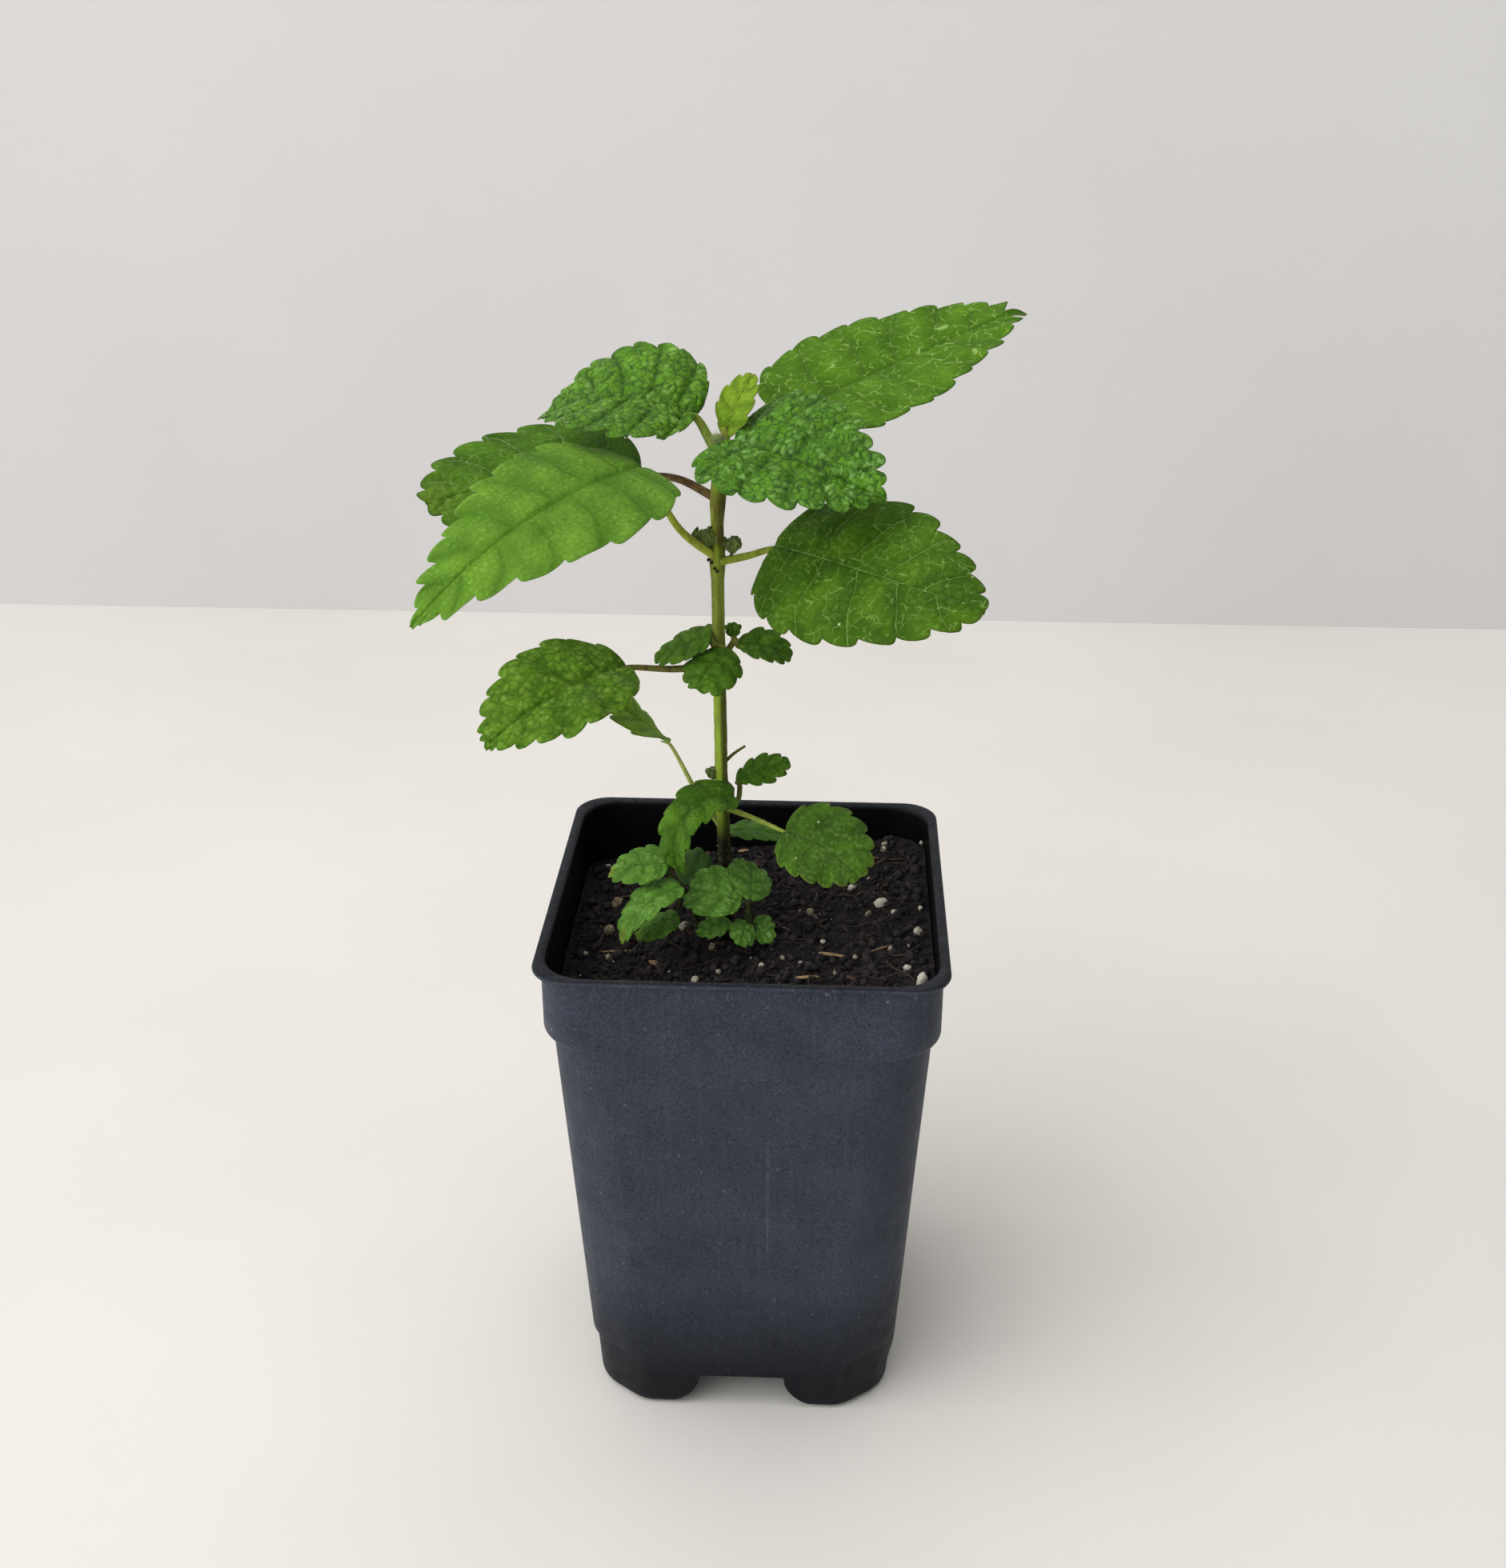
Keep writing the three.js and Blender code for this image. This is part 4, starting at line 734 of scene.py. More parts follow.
def plain_speckled(name, light, dark, size, rough=(0.75, 0.95), depth=0.15):
    """Two colours by noise, shifted from grain to grain by the tone mark."""
    n = Nodes(name, Specular_IOR_Level=0.3)
    share = n.math("ADD", n.mark("tone"), n.ramp(n.noise(size, 4.0, 0.6), 0.3, 0.7, -0.35, 0.35), True)
    colour = n.mix(share, dark, light)
    return n.finish(colour, n.ramp(n.noise(size), 0, 1, *rough), n.noise(size * 0.5, 5.0, 0.65), depth)


def soil_material():
    n = Nodes("soil_mix", Specular_IOR_Level=0.15)
    colour = n.mix(n.ramp(n.noise(2.4, 6.0, 0.65), 0.4, 0.62), (15, 14, 16), (54, 48, 52))
    colour = n.tint(colour, (29, 25, 28), n.ramp(n.noise(6.0, 3.0), 0.45, 0.7, 0, 0.7))
    pieces = n.ramp(n.noise(1.3, 3.0), 0.56, 0.62)
    colour = n.tint(colour, (82, 72, 64), n.ramp(n.cells(0.9), 0.3, 0.2), pieces, 0.6)
    colour = n.tint(colour, (52, 43, 42), n.ramp(n.mark("tone"), 0.5, 1.0), 0.5)
    return n.finish(colour, n.ramp(n.noise(1.0), 0, 1, 0.8, 1.0), n.noise(0.5, 6.0, 0.7), 0.5)


def pot_plastic(n, grain):
    """Blue-grey plastic with soft clouds, a fine grain, and faint teal, plum and pale streaks."""
    colour = n.mix(n.ramp(n.noise(14.0, 4.0, 0.55), 0.35, 0.65), (53, 58, 70), (62, 67, 80))
    colour = n.tint(colour, (36, 38, 46), n.ramp(n.noise(26.0, 3.0, 0.5), 0.48, 0.7, 0, 0.4))
    colour = n.tint(colour, (15, 17, 25), n.ramp(grain, 0.46, 0.64, 0.0, 0.75))
    colour = n.tint(colour, (92, 98, 114), n.ramp(grain, 0.42, 0.3, 0.0, 0.45))
    colour = n.tint(colour, (44, 66, 74), n.ramp(n.noise(0.7, 3.0, 0.6), 0.5, 0.75, 0, 0.5))
    plum = n.noise(0.9, 3.0, 0.6, n.stretched(1.1, 1.1, 0.9))
    colour = n.tint(colour, (66, 54, 70), n.ramp(plum, 0.55, 0.75, 0, 0.4))
    streak = n.noise(1.6, 4.0, 0.6, n.stretched(1, 1, 0.06))
    return n.tint(colour, (78, 82, 90), n.ramp(streak, 0.5, 0.8, 0, 0.25))


def pot_wear(n, colour, across, depth, height):
    """Specks of dust, a pale scratch down the front and worn bits under the lip."""
    dusty = n.ramp(n.noise(18.0, 3.0), 0.4, 0.65, 0.25, 1.0)
    place = n.stretched(1, 1, 0.6)
    for size, wide, least, pale in ((1.9, 0.16, 0.55, 0.6), (4.2, 0.12, 0.6, 0.8)):
        speck = n.ramp(n.cells(size, place=place), wide, 0.3 * wide)
        some = n.ramp(n.chance(size, place), least, 0.95)
        colour = n.tint(colour, (132, 138, 150), speck, some, dusty, pale)
    from_scratch = n.math("ABSOLUTE", n.math("SUBTRACT", across, SCRATCH_ACROSS))
    colour = n.tint(colour, (118, 124, 138), n.ramp(from_scratch, 0.45, 0.1), n.ramp(depth, -20, -25),
                    n.ramp(height, SCRATCH_FOOT, SCRATCH_FOOT + 6),
                    n.ramp(height, SCRATCH_TOP, SCRATCH_TOP - 8),
                    n.ramp(n.noise(1.2, 3.0), 0.35, 0.65, 0.03, 0.18))
    worn = n.ramp(n.noise(0.5, 5.0, 0.7, n.stretched(1, 1, 0.25)), 0.58, 0.7)
    under_lip = n.ramp(height, POT_HEIGHT - 6, POT_HEIGHT - LIP_DEPTH)
    return n.tint(colour, (128, 128, 132), under_lip, worn, 0.6)


def pot_material():
    """Plastic with painted shade towards the feet and, near black, on the inner walls; darker on top of the
    rim.
    """
    n = Nodes("pot_plastic_skin", Specular_IOR_Level=0.15)
    across, depth, height = n.parts(n.place)
    grain = n.noise(0.45, 4.0, 0.8)
    colour = pot_wear(n, pot_plastic(n, grain), across, depth, height)
    normal = n.add("ShaderNodeTexCoord").outputs["Normal"]
    from_axis = n.vector("MULTIPLY", n.vector("SUBTRACT", n.place, tuple(AXIS)), (1, 1, 0))
    facing = n.vector("DOT_PRODUCT", from_axis, normal, "Value")
    # Painted shade: darker towards the feet, under the step.
    colour = n.tint(colour, (9, 10, 16), n.ramp(height, 38, 9, 0.0, 0.93))
    colour = n.tint(colour, (15, 15, 19), n.ramp(n.parts(normal)[2], 0.45, 0.8),
                    n.ramp(height, POT_HEIGHT - 3, POT_HEIGHT - 1),
                    n.ramp(n.noise(1.1, 4.0), 0.3, 0.62, 1.0, 0.6))
    # Painted shade: the inner walls, which face the axis, are near black.
    colour = n.tint(colour, (4, 4, 5), n.ramp(facing, -25, -35))
    rough = n.ramp(n.noise(3.0, 4.0), 0.3, 0.7, 0.44, 0.58)
    bump = n.math("ADD", n.times(grain, 0.7), n.times(n.noise(6.0), 0.5))
    return n.finish(colour, rough, bump, 0.035, 0.8)


# Pot

def pot_ring(half, radius, inset, height, face_steps=30, arc_steps=14):
    """One ring of the pot: a rounded square whose corners stand back by inset from its flat faces."""
    flat = half - radius
    straight = np.stack([np.full(face_steps, half), np.linspace(-flat, flat, face_steps, endpoint=False)], -1)
    angle = np.linspace(0, np.pi / 2, arc_steps, endpoint=False)
    arc = np.stack([flat + radius * np.cos(angle), flat + radius * np.sin(angle)], -1)
    quarter = np.concatenate([straight, arc])
    points = np.concatenate([quarter @ np.array([[c, s], [-s, c]])
                             for c, s in ((1, 0), (0, 1), (-1, 0), (0, -1))])
    x, y = points[:, 0].copy(), points[:, 1].copy()
    points[:, 0] = x * (1 - inset / half * smoothstep(np.abs(y) / half, *SIDE_FLAT))
    points[:, 1] = y * (1 - inset / half * smoothstep(np.abs(x) / half, *FRONT_FLAT))
    return np.column_stack([points, np.full(len(points), height)])


def body_half(height):
    return COLLAR_HALF - BODY_TAPER * (COLLAR_FOOT - height)


def loft(rings):
    """A closed solid through rings of equal point count."""
    count, sides = len(rings), len(rings[0])
    points = np.concatenate(rings)
    points = np.vstack([points, rings[0].mean(0), rings[-1].mean(0)])
    first = np.arange(sides)
    after = np.roll(first, -1)
    low = np.stack([np.full(sides, count * sides), after, first], -1)
    high = np.stack([np.full(sides, count * sides + 1), first, after], -1)
    high[:, 1:] += (count - 1) * sides
    return points, [grid_faces(count, sides, wrap=True), np.concatenate([low, high])], {}


def pot_form(inward, floor, top):
    """The pot's form, shrunk all round by inward, with rounded steps under the collar and above the feet."""
    rings = []

    def body(height, inset, rounding=0.0):
        rings.append(pot_ring(body_half(height) - inward - rounding, BODY_RADIUS - inward, inset, height))

    for angle in np.radians((0, 18, 36, 54, 72, 90)):
        body(floor + FOOT_ROUNDING * (1 - math.cos(angle)), FOOT_INSET, FOOT_ROUNDING * (1 - math.sin(angle)))
    body(FOOT_STEP - STEP_RISE, FOOT_INSET)
    for part in (0.1, 0.3, 0.6, 1):
        inset = FOOT_INSET + (BODY_INSET - FOOT_INSET) * part ** 0.5
        body(FOOT_STEP - STEP_RISE + STEP_RISE * part, inset)
    for height in np.linspace(FOOT_STEP + 4, COLLAR_FOOT - STEP_RISE - 0.6, 7):
        body(height, BODY_INSET)
    body(COLLAR_FOOT - STEP_RISE, BODY_INSET)
    for part in (0.02, 0.08, 0.2, 0.4, 0.65, 1):
        height = COLLAR_FOOT - STEP_RISE + 0.05 + 2.6 * part
        inset = BODY_INSET * (1 - math.sqrt(1 - (1 - part) ** 2)) if part < 1 else 0
        radius = BODY_RADIUS + (COLLAR_RADIUS - BODY_RADIUS) * part
        rings.append(pot_ring(min(body_half(height), COLLAR_HALF) - inward, radius - inward, inset, height))
    for height in (COLLAR_FOOT + 6, COLLAR_FOOT + 12, min(top, POT_HEIGHT - LIP_DEPTH)):
        rings.append(pot_ring(COLLAR_HALF - inward, COLLAR_RADIUS - inward, 0, height))
    if top > POT_HEIGHT:
        for part in (0.35, 0.7, 1):
            wider = LIP_FLARE * (1 - math.sqrt(1 - part ** 2))
            height = POT_HEIGHT - LIP_DEPTH * (1 - part)
            rings.append(pot_ring(COLLAR_HALF - inward + wider, COLLAR_RADIUS - inward, 0, height))
        rings.append(pot_ring(COLLAR_HALF - inward + LIP_FLARE, COLLAR_RADIUS - inward, 0, top))
    return loft(rings)


def lip_form():
    rim = POT_HEIGHT - LIP_DEPTH
    rings = [pot_ring(COLLAR_HALF - WALL / 2, COLLAR_RADIUS, 0, rim - 1)]
    rings.append(pot_ring(COLLAR_HALF + 0.1, LIP_RADIUS + 1, 0, rim - 0.3))
    for middle, angles in ((rim + LIP_ROUNDING, (-90, -45, 0)), (POT_HEIGHT - LIP_ROUNDING, (0, 30, 60, 90))):
        for angle in np.radians(angles):
            rings.append(pot_ring(LIP_HALF - LIP_ROUNDING * (1 - math.cos(angle)), LIP_RADIUS, 0,
                                  middle + LIP_ROUNDING * math.sin(angle)))
    return loft(rings)


def channel_form(wider, across):
    """A bar in the form of the channel under the pot, wider all round, along X or across it."""
    profile = [(half + wider, z if z < 0 else z + wider) for half, z in CHANNEL_PROFILE]
    fine = []
    for (a, za), (b, zb) in zip(profile, profile[1:]):
        fine += [(a + (b - a) * k / 3, za + (zb - za) * k / 3) for k in range(3)]
    fine.append(profile[-1])
    edge = fine + [(-half, z) for half, z in reversed(fine)]
    return loft([np.array([(reach, a, z) if across else (-a, reach, z) for a, z in edge], float)
                 for reach in (-CHANNEL_REACH, CHANNEL_REACH)])


def outward(part):
    """The part with its faces turned outward, as its enclosed volume tells."""
    points, faces, marks = part
    volume = sum(np.einsum("ij,ij->", points[f[:, 0]], np.cross(points[f[:, i]], points[f[:, i + 1]]))
                 for f in faces for i in range(1, f.shape[1] - 1))
    return part if volume > 0 else (points, [f[:, ::-1] for f in faces], marks)


def solid(part):
    """A plain object of the part, for the joining and cutting of forms."""
    points, faces, _ = outward(part)
    mesh = bpy.data.meshes.new("form")
    mesh.from_pydata(points.tolist(), [], [list(f) for fs in faces for f in fs.tolist()])
    return new_object("form", mesh)


def combine(base, other, operation):
    """Joins other to base, or cuts base by it. other is used up."""
    change = base.modifiers.new("cut", "BOOLEAN")
    change.operation, change.object, change.solver = operation, other, "EXACT"
    graph = bpy.context.evaluated_depsgraph_get()
    made = bpy.data.meshes.new_from_object(base.evaluated_get(graph))
    base.modifiers.clear()
    base.data = made
    bpy.data.objects.remove(other)


def read_part(form):
    mesh = form.data
    points = np.zeros(len(mesh.vertices) * 3, np.float32)
    mesh.vertices.foreach_get("co", points)
    faces = {}
    for polygon in mesh.polygons:
        faces.setdefault(len(polygon.vertices), []).append(tuple(polygon.vertices))
    bpy.data.objects.remove(form)
    return points.reshape(-1, 3).astype(float), [np.array(f) for f in faces.values()], {}


def build_pot():
    shell = solid(pot_form(0, 0, POT_HEIGHT - LIP_DEPTH))
    combine(shell, solid(lip_form()), "UNION")
    room = solid(pot_form(WALL, WALL, POT_HEIGHT + 5))
    for across in (True, False):
        combine(shell, solid(channel_form(0, across)), "DIFFERENCE")
        combine(room, solid(channel_form(WALL, across)), "DIFFERENCE")
    combine(shell, room, "DIFFERENCE")
    angle = np.linspace(0, 2 * np.pi, 32, endpoint=False)
    circle = np.column_stack([np.cos(angle), np.sin(angle), 0 * angle]) * DRAIN_RADIUS
    for x, y in ((0, 0), (1, 0), (-1, 0), (0, 1), (0, -1)):
        hole = circle + np.array([x, y, 0]) * DRAIN_REACH
        combine(shell, solid(loft([hole, hole + DRAIN_LENGTH * UP])), "DIFFERENCE")
    points, faces, _ = read_part(shell)
    part = (points + FEET_LEVEL * UP, faces, {})
    add_piece("pot_shell", part, pot_material(), ["pot"], sharp=40)


# Soil

def soil_top(x, y):
    """Height of the rough soil, which falls to the left and rises round the stem."""
    flat = np.stack([x, y], -1)
    rough = 0.9 * wobble(flat, 11.0, 21) + 0.7 * wobble(flat, 4.2, 22, 2) + 0.35 * wobble(flat, 1.3, 23, 2)
    near_stem = np.exp(-((x + 5.5) ** 2 + (y + 1) ** 2) / 60)
    return SOIL_HEIGHT + SOIL_SLOPE * x + rough * 0.75 + 1.2 * near_stem


def build_soil():
    """The soil body: packed sides and floor, as in the solids, under a fine rough top."""
    rim = pot_ring(COLLAR_HALF - WALL - SOIL_GAP, COLLAR_RADIUS - WALL - SOIL_GAP, 0, 0, 40, 16)[:, :2]
    flat = rim[None] * np.linspace(1, 0, SOIL_RINGS)[:, None, None]
    z = soil_top(flat[..., 0], flat[..., 1])
    tone = 0.5 + 0.5 * wobble(flat, 5.0, 31, 2)
    top = np.concatenate([flat, z[..., None]], -1).reshape(-1, 3)
    foot = np.minimum(z[0] - 0.1, SOIL_CUT)
    skirt = np.concatenate([np.column_stack([rim, z[0]]), np.column_stack([rim, foot])])
    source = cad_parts["soil"].data
    places = np.array([v.co for v in source.vertices]) / MM - AXIS
    low = np.minimum(places, [np.inf, np.inf, SOIL_CUT])
    keep = [tuple(p.vertices) for p in source.polygons if min(places[i][2] for i in p.vertices) < SOIL_CUT]
    used = sorted({i for face in keep for i in face})
    index = {old: new for new, old in enumerate(used)}
    by_size = {}
    for face in keep:
        by_size.setdefault(len(face), []).append([index[i] for i in face])
    return join([(top, [grid_faces(SOIL_RINGS, len(rim), wrap=True)], {"tone": tone.ravel()}),
                 (skirt, [grid_faces(2, len(rim), wrap=True)[:, ::-1]], {}),
                 (low[used], [np.array(f) for f in by_size.values()], {})])


def ball(level):
    """Corners and faces of an icosahedron whose faces are split in four, level times over."""
    golden = (1 + 5 ** 0.5) / 2
    corners = np.array([(-1, golden, 0), (1, golden, 0), (-1, -golden, 0), (1, -golden, 0), (0, -1, golden),
                        (0, 1, golden), (0, -1, -golden), (0, 1, -golden), (golden, 0, -1), (golden, 0, 1),
                        (-golden, 0, -1), (-golden, 0, 1)]) / CORNER_REACH
    faces = np.array([(0, 11, 5), (0, 5, 1), (0, 1, 7), (0, 7, 10), (0, 10, 11), (1, 5, 9), (5, 11, 4),
                      (11, 10, 2), (10, 7, 6), (7, 1, 8), (3, 9, 4), (3, 4, 2), (3, 2, 6), (3, 6, 8),
                      (3, 8, 9), (4, 9, 5), (2, 4, 11), (6, 2, 10), (8, 6, 7), (9, 8, 1)])
    for _ in range(level):
        edges, fresh, split = {}, [], []

        def half_way(a, b):
            key = (min(a, b), max(a, b))
            if key not in edges:
                edges[key] = len(corners) + len(fresh)
                middle = (corners[a] + corners[b]) / 2
                fresh.append(middle / np.linalg.norm(middle))
            return edges[key]

        for a, b, c in faces.tolist():
            ab, bc, ca = half_way(a, b), half_way(b, c), half_way(c, a)
            split += [(a, ab, ca), (b, bc, ab), (c, ca, bc), (ab, bc, ca)]
        corners, faces = np.vstack([corners, fresh]), np.array(split)
    return corners, faces


def lumps(centres, sizes, seed, squash=(0.75, 1.0), roughness=0.28, level=0):
    """Irregular grains, one for each centre."""
    corners, faces = ball(level)
    rng = np.random.default_rng(seed)
    count = len(centres)
    axes = np.linalg.qr(rng.normal(size=(count, 3, 3)))[0]
    shape = corners[None] * rng.uniform(*squash, (count, 1, 3))
    shape = shape * (1 + roughness * rng.uniform(-1, 1, (count, len(corners), 1)))
    shape = np.einsum("nij,nkj->nki", axes, shape) * np.asarray(sizes)[:, None, None]
    points = (shape + np.asarray(centres)[:, None]).reshape(-1, 3)
    starts = (np.arange(count) * len(corners))[:, None, None]
    tone = np.repeat(rng.uniform(0, 1, count), len(corners))
    return points, [(faces[None] + starts).reshape(-1, 3)], {"tone": tone}


def ovoid(at, radii, seed, roughness):
    points, faces, _ = lumps([at], [1.0], seed, (1, 1), roughness, 3)
    return at + (points - at) * radii, faces, {}


def soil_places(count, seed, margin=1.5):
    """Places drawn evenly inside the pot, at least margin from its wall, and the draw to go on with."""
    rng = np.random.default_rng(seed)
    reach = COLLAR_HALF - WALL - SOIL_GAP - margin
    x, y = rng.uniform(-reach, reach, (2, 3 * count))
    corner = reach - COLLAR_RADIUS + 2
    beyond = np.hypot(np.maximum(np.abs(x) - corner, 0), np.maximum(np.abs(y) - corner, 0))
    inside = beyond < COLLAR_RADIUS - 2
    return x[inside][:count], y[inside][:count], rng


def crumbs():
    x, y, rng = soil_places(5200, 41)
    size = 0.28 + 1.15 * rng.power(0.35, len(x)) ** 2
    z = soil_top(x, y) + size * rng.uniform(0.0, 0.7, len(x))
    return lumps(np.stack([x, y, z], -1), size, 42, (0.55, 1.1), 0.3)


def fibres(count, seed, lengths, radii, lift):
    """Thin bent fibres that lie on the soil."""
    x, y, rng = soil_places(count, seed, 5)
    s = np.linspace(-0.5, 0.5, 9)
    limit = COLLAR_HALF - WALL - 1.2
    parts = []
    for middle in zip(x, y):
        length = rng.uniform(*lengths)
        heading = rng.uniform(0, 2 * np.pi)
        bearing = heading + rng.normal(0, 1.1) * s * 2
        step = np.stack([np.cos(bearing), np.sin(bearing)], -1) * length / 8
        flat = np.clip(np.array(middle) + np.cumsum(step, 0) - step.sum(0) / 2, -limit, limit)
        rise = rng.uniform(0, lift) * (1 - (2 * s) ** 2) + rng.uniform(0, 0.35)
        path = np.column_stack([flat, soil_top(flat[:, 0], flat[:, 1]) + 0.25 + rise])
        radius = rng.uniform(*radii) * (1 - 0.6 * np.abs(2 * s) ** 3)
        parts.append(marked(tube(path, radius, 4), "tone", rng.uniform()))
    return join(parts)


def slivers(places, seed):
    """Flat splinters of wood and bark: places are x, y, heading, length, width."""
    rng = np.random.default_rng(seed)
    s = np.linspace(-0.5, 0.5, 7)
    parts = []
    for x, y, heading, length, width in places:
        h = math.radians(heading)
        flat = np.stack([x + length * s * math.cos(h), y + length * s * math.sin(h)], -1)
        z = soil_top(flat[:, 0], flat[:, 1]).mean() + 0.35 + 0.5 * width * 0.4 + s * rng.normal(0, 0.6)
        radius = width / 2 * np.clip(1.05 - np.abs(2 * s) ** rng.uniform(1.5, 4) * 0.8, 0.1, 1)
        part = tube(np.column_stack([flat, z]), radius * rng.uniform(0.8, 1.2, 7), 6)
        body = part[0][:-2]
        middle = np.repeat(z, 6)
        body[:, 2] = middle + (body[:, 2] - middle) * 0.45
        body += rng.normal(0, 0.04, body.shape)
        parts.append(marked(part, "tone", rng.uniform()))
    return join(parts)


# Stage, light and camera

SKY_ACROSS, SKY_COLOUR = (-0.7, 0.6, 1.5, 0.15), (0.96, 0.98, 1.0, 1)
LAMPS = [  # name, place and target in metres, size, power, colour
    ("window", (-0.8, -0.35, 0.75), (0, 0, 0.12), 0.6, 1.7, (1, 0.99, 0.97)),
    ("ceiling", (-0.1, -0.08, 1.1), (0, 0, 0.1), 0.7, 2.6, (1, 0.99, 0.97)),
    ("front", (-0.75, -0.95, 0.75), (0, 0, 0.12), 0.9, 2.5, (1, 0.99, 0.98))]
CAMERA_FOCAL, CAMERA_LONG_SIDE, SENSOR = 2353.35, 1960, 36  # pixels, pixels, millimetres
CAMERA_PLACE = (17.216, -378.943, 331.139)
CAMERA_AHEAD, CAMERA_RIGHT = (-0.03878, 0.90135, -0.43136), (0.99904, 0.04385, 0.0018)
FAR, SIDE, NEAR, TOP = 500.0, 2200, -1600, 2200  # how far the table and the wall behind it reach
STAGE = [  # name, material, its two colours, sizes of its noises, roughness, corners
    ("table", "table_top", (240, 236, 229), (233, 229, 222), (160.0, 20.0, 3.0), (0.55, 0.7),
     [(-SIDE, NEAR, 0), (SIDE, NEAR, 0), (SIDE, FAR, 0), (-SIDE, FAR, 0)]),
    ("wall", "wall_paint", (218, 216, 215), (213, 210, 209), (220.0, 30.0, 4.0), (0.8, 0.9),
     [(-SIDE, FAR, -20), (SIDE, FAR, -20), (SIDE, FAR, TOP), (-SIDE, FAR, TOP)])]


def pose(holder, right, back, place):
    """Turns a lamp or camera by the directions to its right and behind it, and moves it to its place."""
    columns = (right, np.cross(back, right), back, place)
    holder.matrix_world = Matrix([[column[i] for column in columns] for i in range(3)] + [[0, 0, 0, 1]])


def build_stage():
    for name, skin, light, dark, (broad, middling, small), rough, corners in STAGE:
        n = Nodes(skin)
        colour = n.mix(n.ramp(n.noise(broad, 3.0), 0.3, 0.7), light, dark)
        material = n.finish(colour, n.ramp(n.noise(middling), 0, 1, *rough), n.noise(small, 3.0), 0.05)
        mesh = bpy.data.meshes.new(name)
        mesh.from_pydata([tuple((np.array(c) + AXIS * [1, 1, 0]) * MM) for c in corners], [], [(0, 1, 2, 3)])
        mesh.materials.append(material)
        new_object(name, mesh)


def area_light(name, place, target, size, power, colour):
    lamp = bpy.data.lights.new(name, "AREA")
    lamp.shape, lamp.size, lamp.energy, lamp.color = "SQUARE", size, power, colour
    away = unit(np.array(place, float) - np.array(target, float))
    pose(new_object(name, lamp), unit(np.cross(UP, away)), away, place)


def build_light():
    """An even sky, brighter from the left, a window at the left and two soft lamps."""
    world = bpy.data.worlds.new("studio")
    bpy.context.scene.world = world
    world.use_nodes = True
    nodes, links = world.node_tree.nodes, world.node_tree.links
    way = nodes.new("ShaderNodeSeparateXYZ")
    links.new(nodes.new("ShaderNodeTexCoord").outputs["Generated"], way.inputs[0])
    strength = nodes.new("ShaderNodeMapRange")
    for index, value in enumerate(SKY_ACROSS, 1):
        strength.inputs[index].default_value = value
    links.new(way.outputs[0], strength.inputs[0])
    background = nodes["Background"]
    links.new(strength.outputs[0], background.inputs[1])
    background.inputs[0].default_value = SKY_COLOUR
    for lamp in LAMPS:
        area_light(*lamp)


def build_camera():
    lens = bpy.data.cameras.new("camera")
    lens.sensor_width, lens.sensor_fit = SENSOR, "AUTO"
    lens.lens = CAMERA_FOCAL / CAMERA_LONG_SIDE * SENSOR
    lens.clip_start, lens.clip_end = 0.01, 20
    ahead = unit(np.array(CAMERA_AHEAD))
    right = np.array(CAMERA_RIGHT)
    right = unit(right - ahead * right.dot(ahead))
    holder = new_object("camera", lens)
    pose(holder, right, -ahead, (np.array(CAMERA_PLACE) + AXIS) * MM)
    bpy.context.scene.camera = holder


# Plant

def detail(half_columns, per_tooth, quilt, veins, **more):
    return dict(half_columns=half_columns, per_tooth=per_tooth, quilt=quilt, veins=veins, **more)


BLADE_DETAIL = {
    "leaf_upper_back_right": detail(46, 15, 0.08, 7, wave=0.3, cells=1.8, dip=0.2, crest=0.72,
                                    hook=(0.905, 1.2, -30)),
    "leaf_upper_back_left": detail(42, 15, 0.16, 6, wave=0.3, cells=1.9),
    "leaf_upper_front_left": detail(46, 15, 0.04, 7, wave=0.4, cells=1.3, dip=0.3, crest=0.82, left_teeth=8),
    "leaf_upper_front_right": detail(46, 15, 0.12, 6, wave=0.3, cells=2.0, dip=0.2, gain=0.75, crest=0.76),
    "leaf_tip_right": detail(50, 15, 0.34, 6, wave=0.3, cells=1.25, dip=0.4, crest=0.62),
    "leaf_tip_left": detail(50, 13, 0.36, 6, wave=0.3, cells=1.45, dip=0.6, crest=0.62),
    "leaf_middle_left": detail(42, 14, 0.24, 5, wave=0.4, cells=1.5, dip=0.3, gain=0.9,
                               hook=(0.94, 0.9, -20)),
    "leaf_lower_back_left": detail(24, 12, 0.2, 4, wave=0.9, cells=1.3, gain=2.2),
    "leaf_lower_hanging": detail(24, 10, 0.2, 5, wave=0.3, cells=1.3, gain=1.3),
    "leaf_lower_front_right": detail(30, 11, 0.12, 5, wave=0.3, cells=1.5, gain=1.4),
    "leaf_lower_back_right": detail(18, 10, 0.15, 4, wave=0.3, gain=1.4),
}
SMALL_DETAIL = detail(16, 10, 0.18, 4, wave=0.3, thickness=0.3, cells=1.2, gain=1.7, crest=0.62)


def down_on_tube(path, radii, per_mm, lengths, seed):
    """Hair roots, aims and lengths round a tube."""
    rng = np.random.default_rng(seed)
    span = np.linalg.norm(np.diff(path, axis=0), axis=1).sum()
    count = int(span * per_mm)
    at = rng.uniform(0, len(path) - 1, count)
    low = np.floor(at).astype(int)
    part = (at - low)[:, None]
    centre = path[low] * (1 - part) + path[np.minimum(low + 1, len(path) - 1)] * part
    ahead = unit(np.gradient(path, axis=0)[low])
    out = unit(np.cross(ahead, rng.normal(size=(count, 3))))
    radius = np.broadcast_to(radii, len(path))[low][:, None]
    return centre + out * radius * 0.9, out, rng.uniform(*lengths, count)


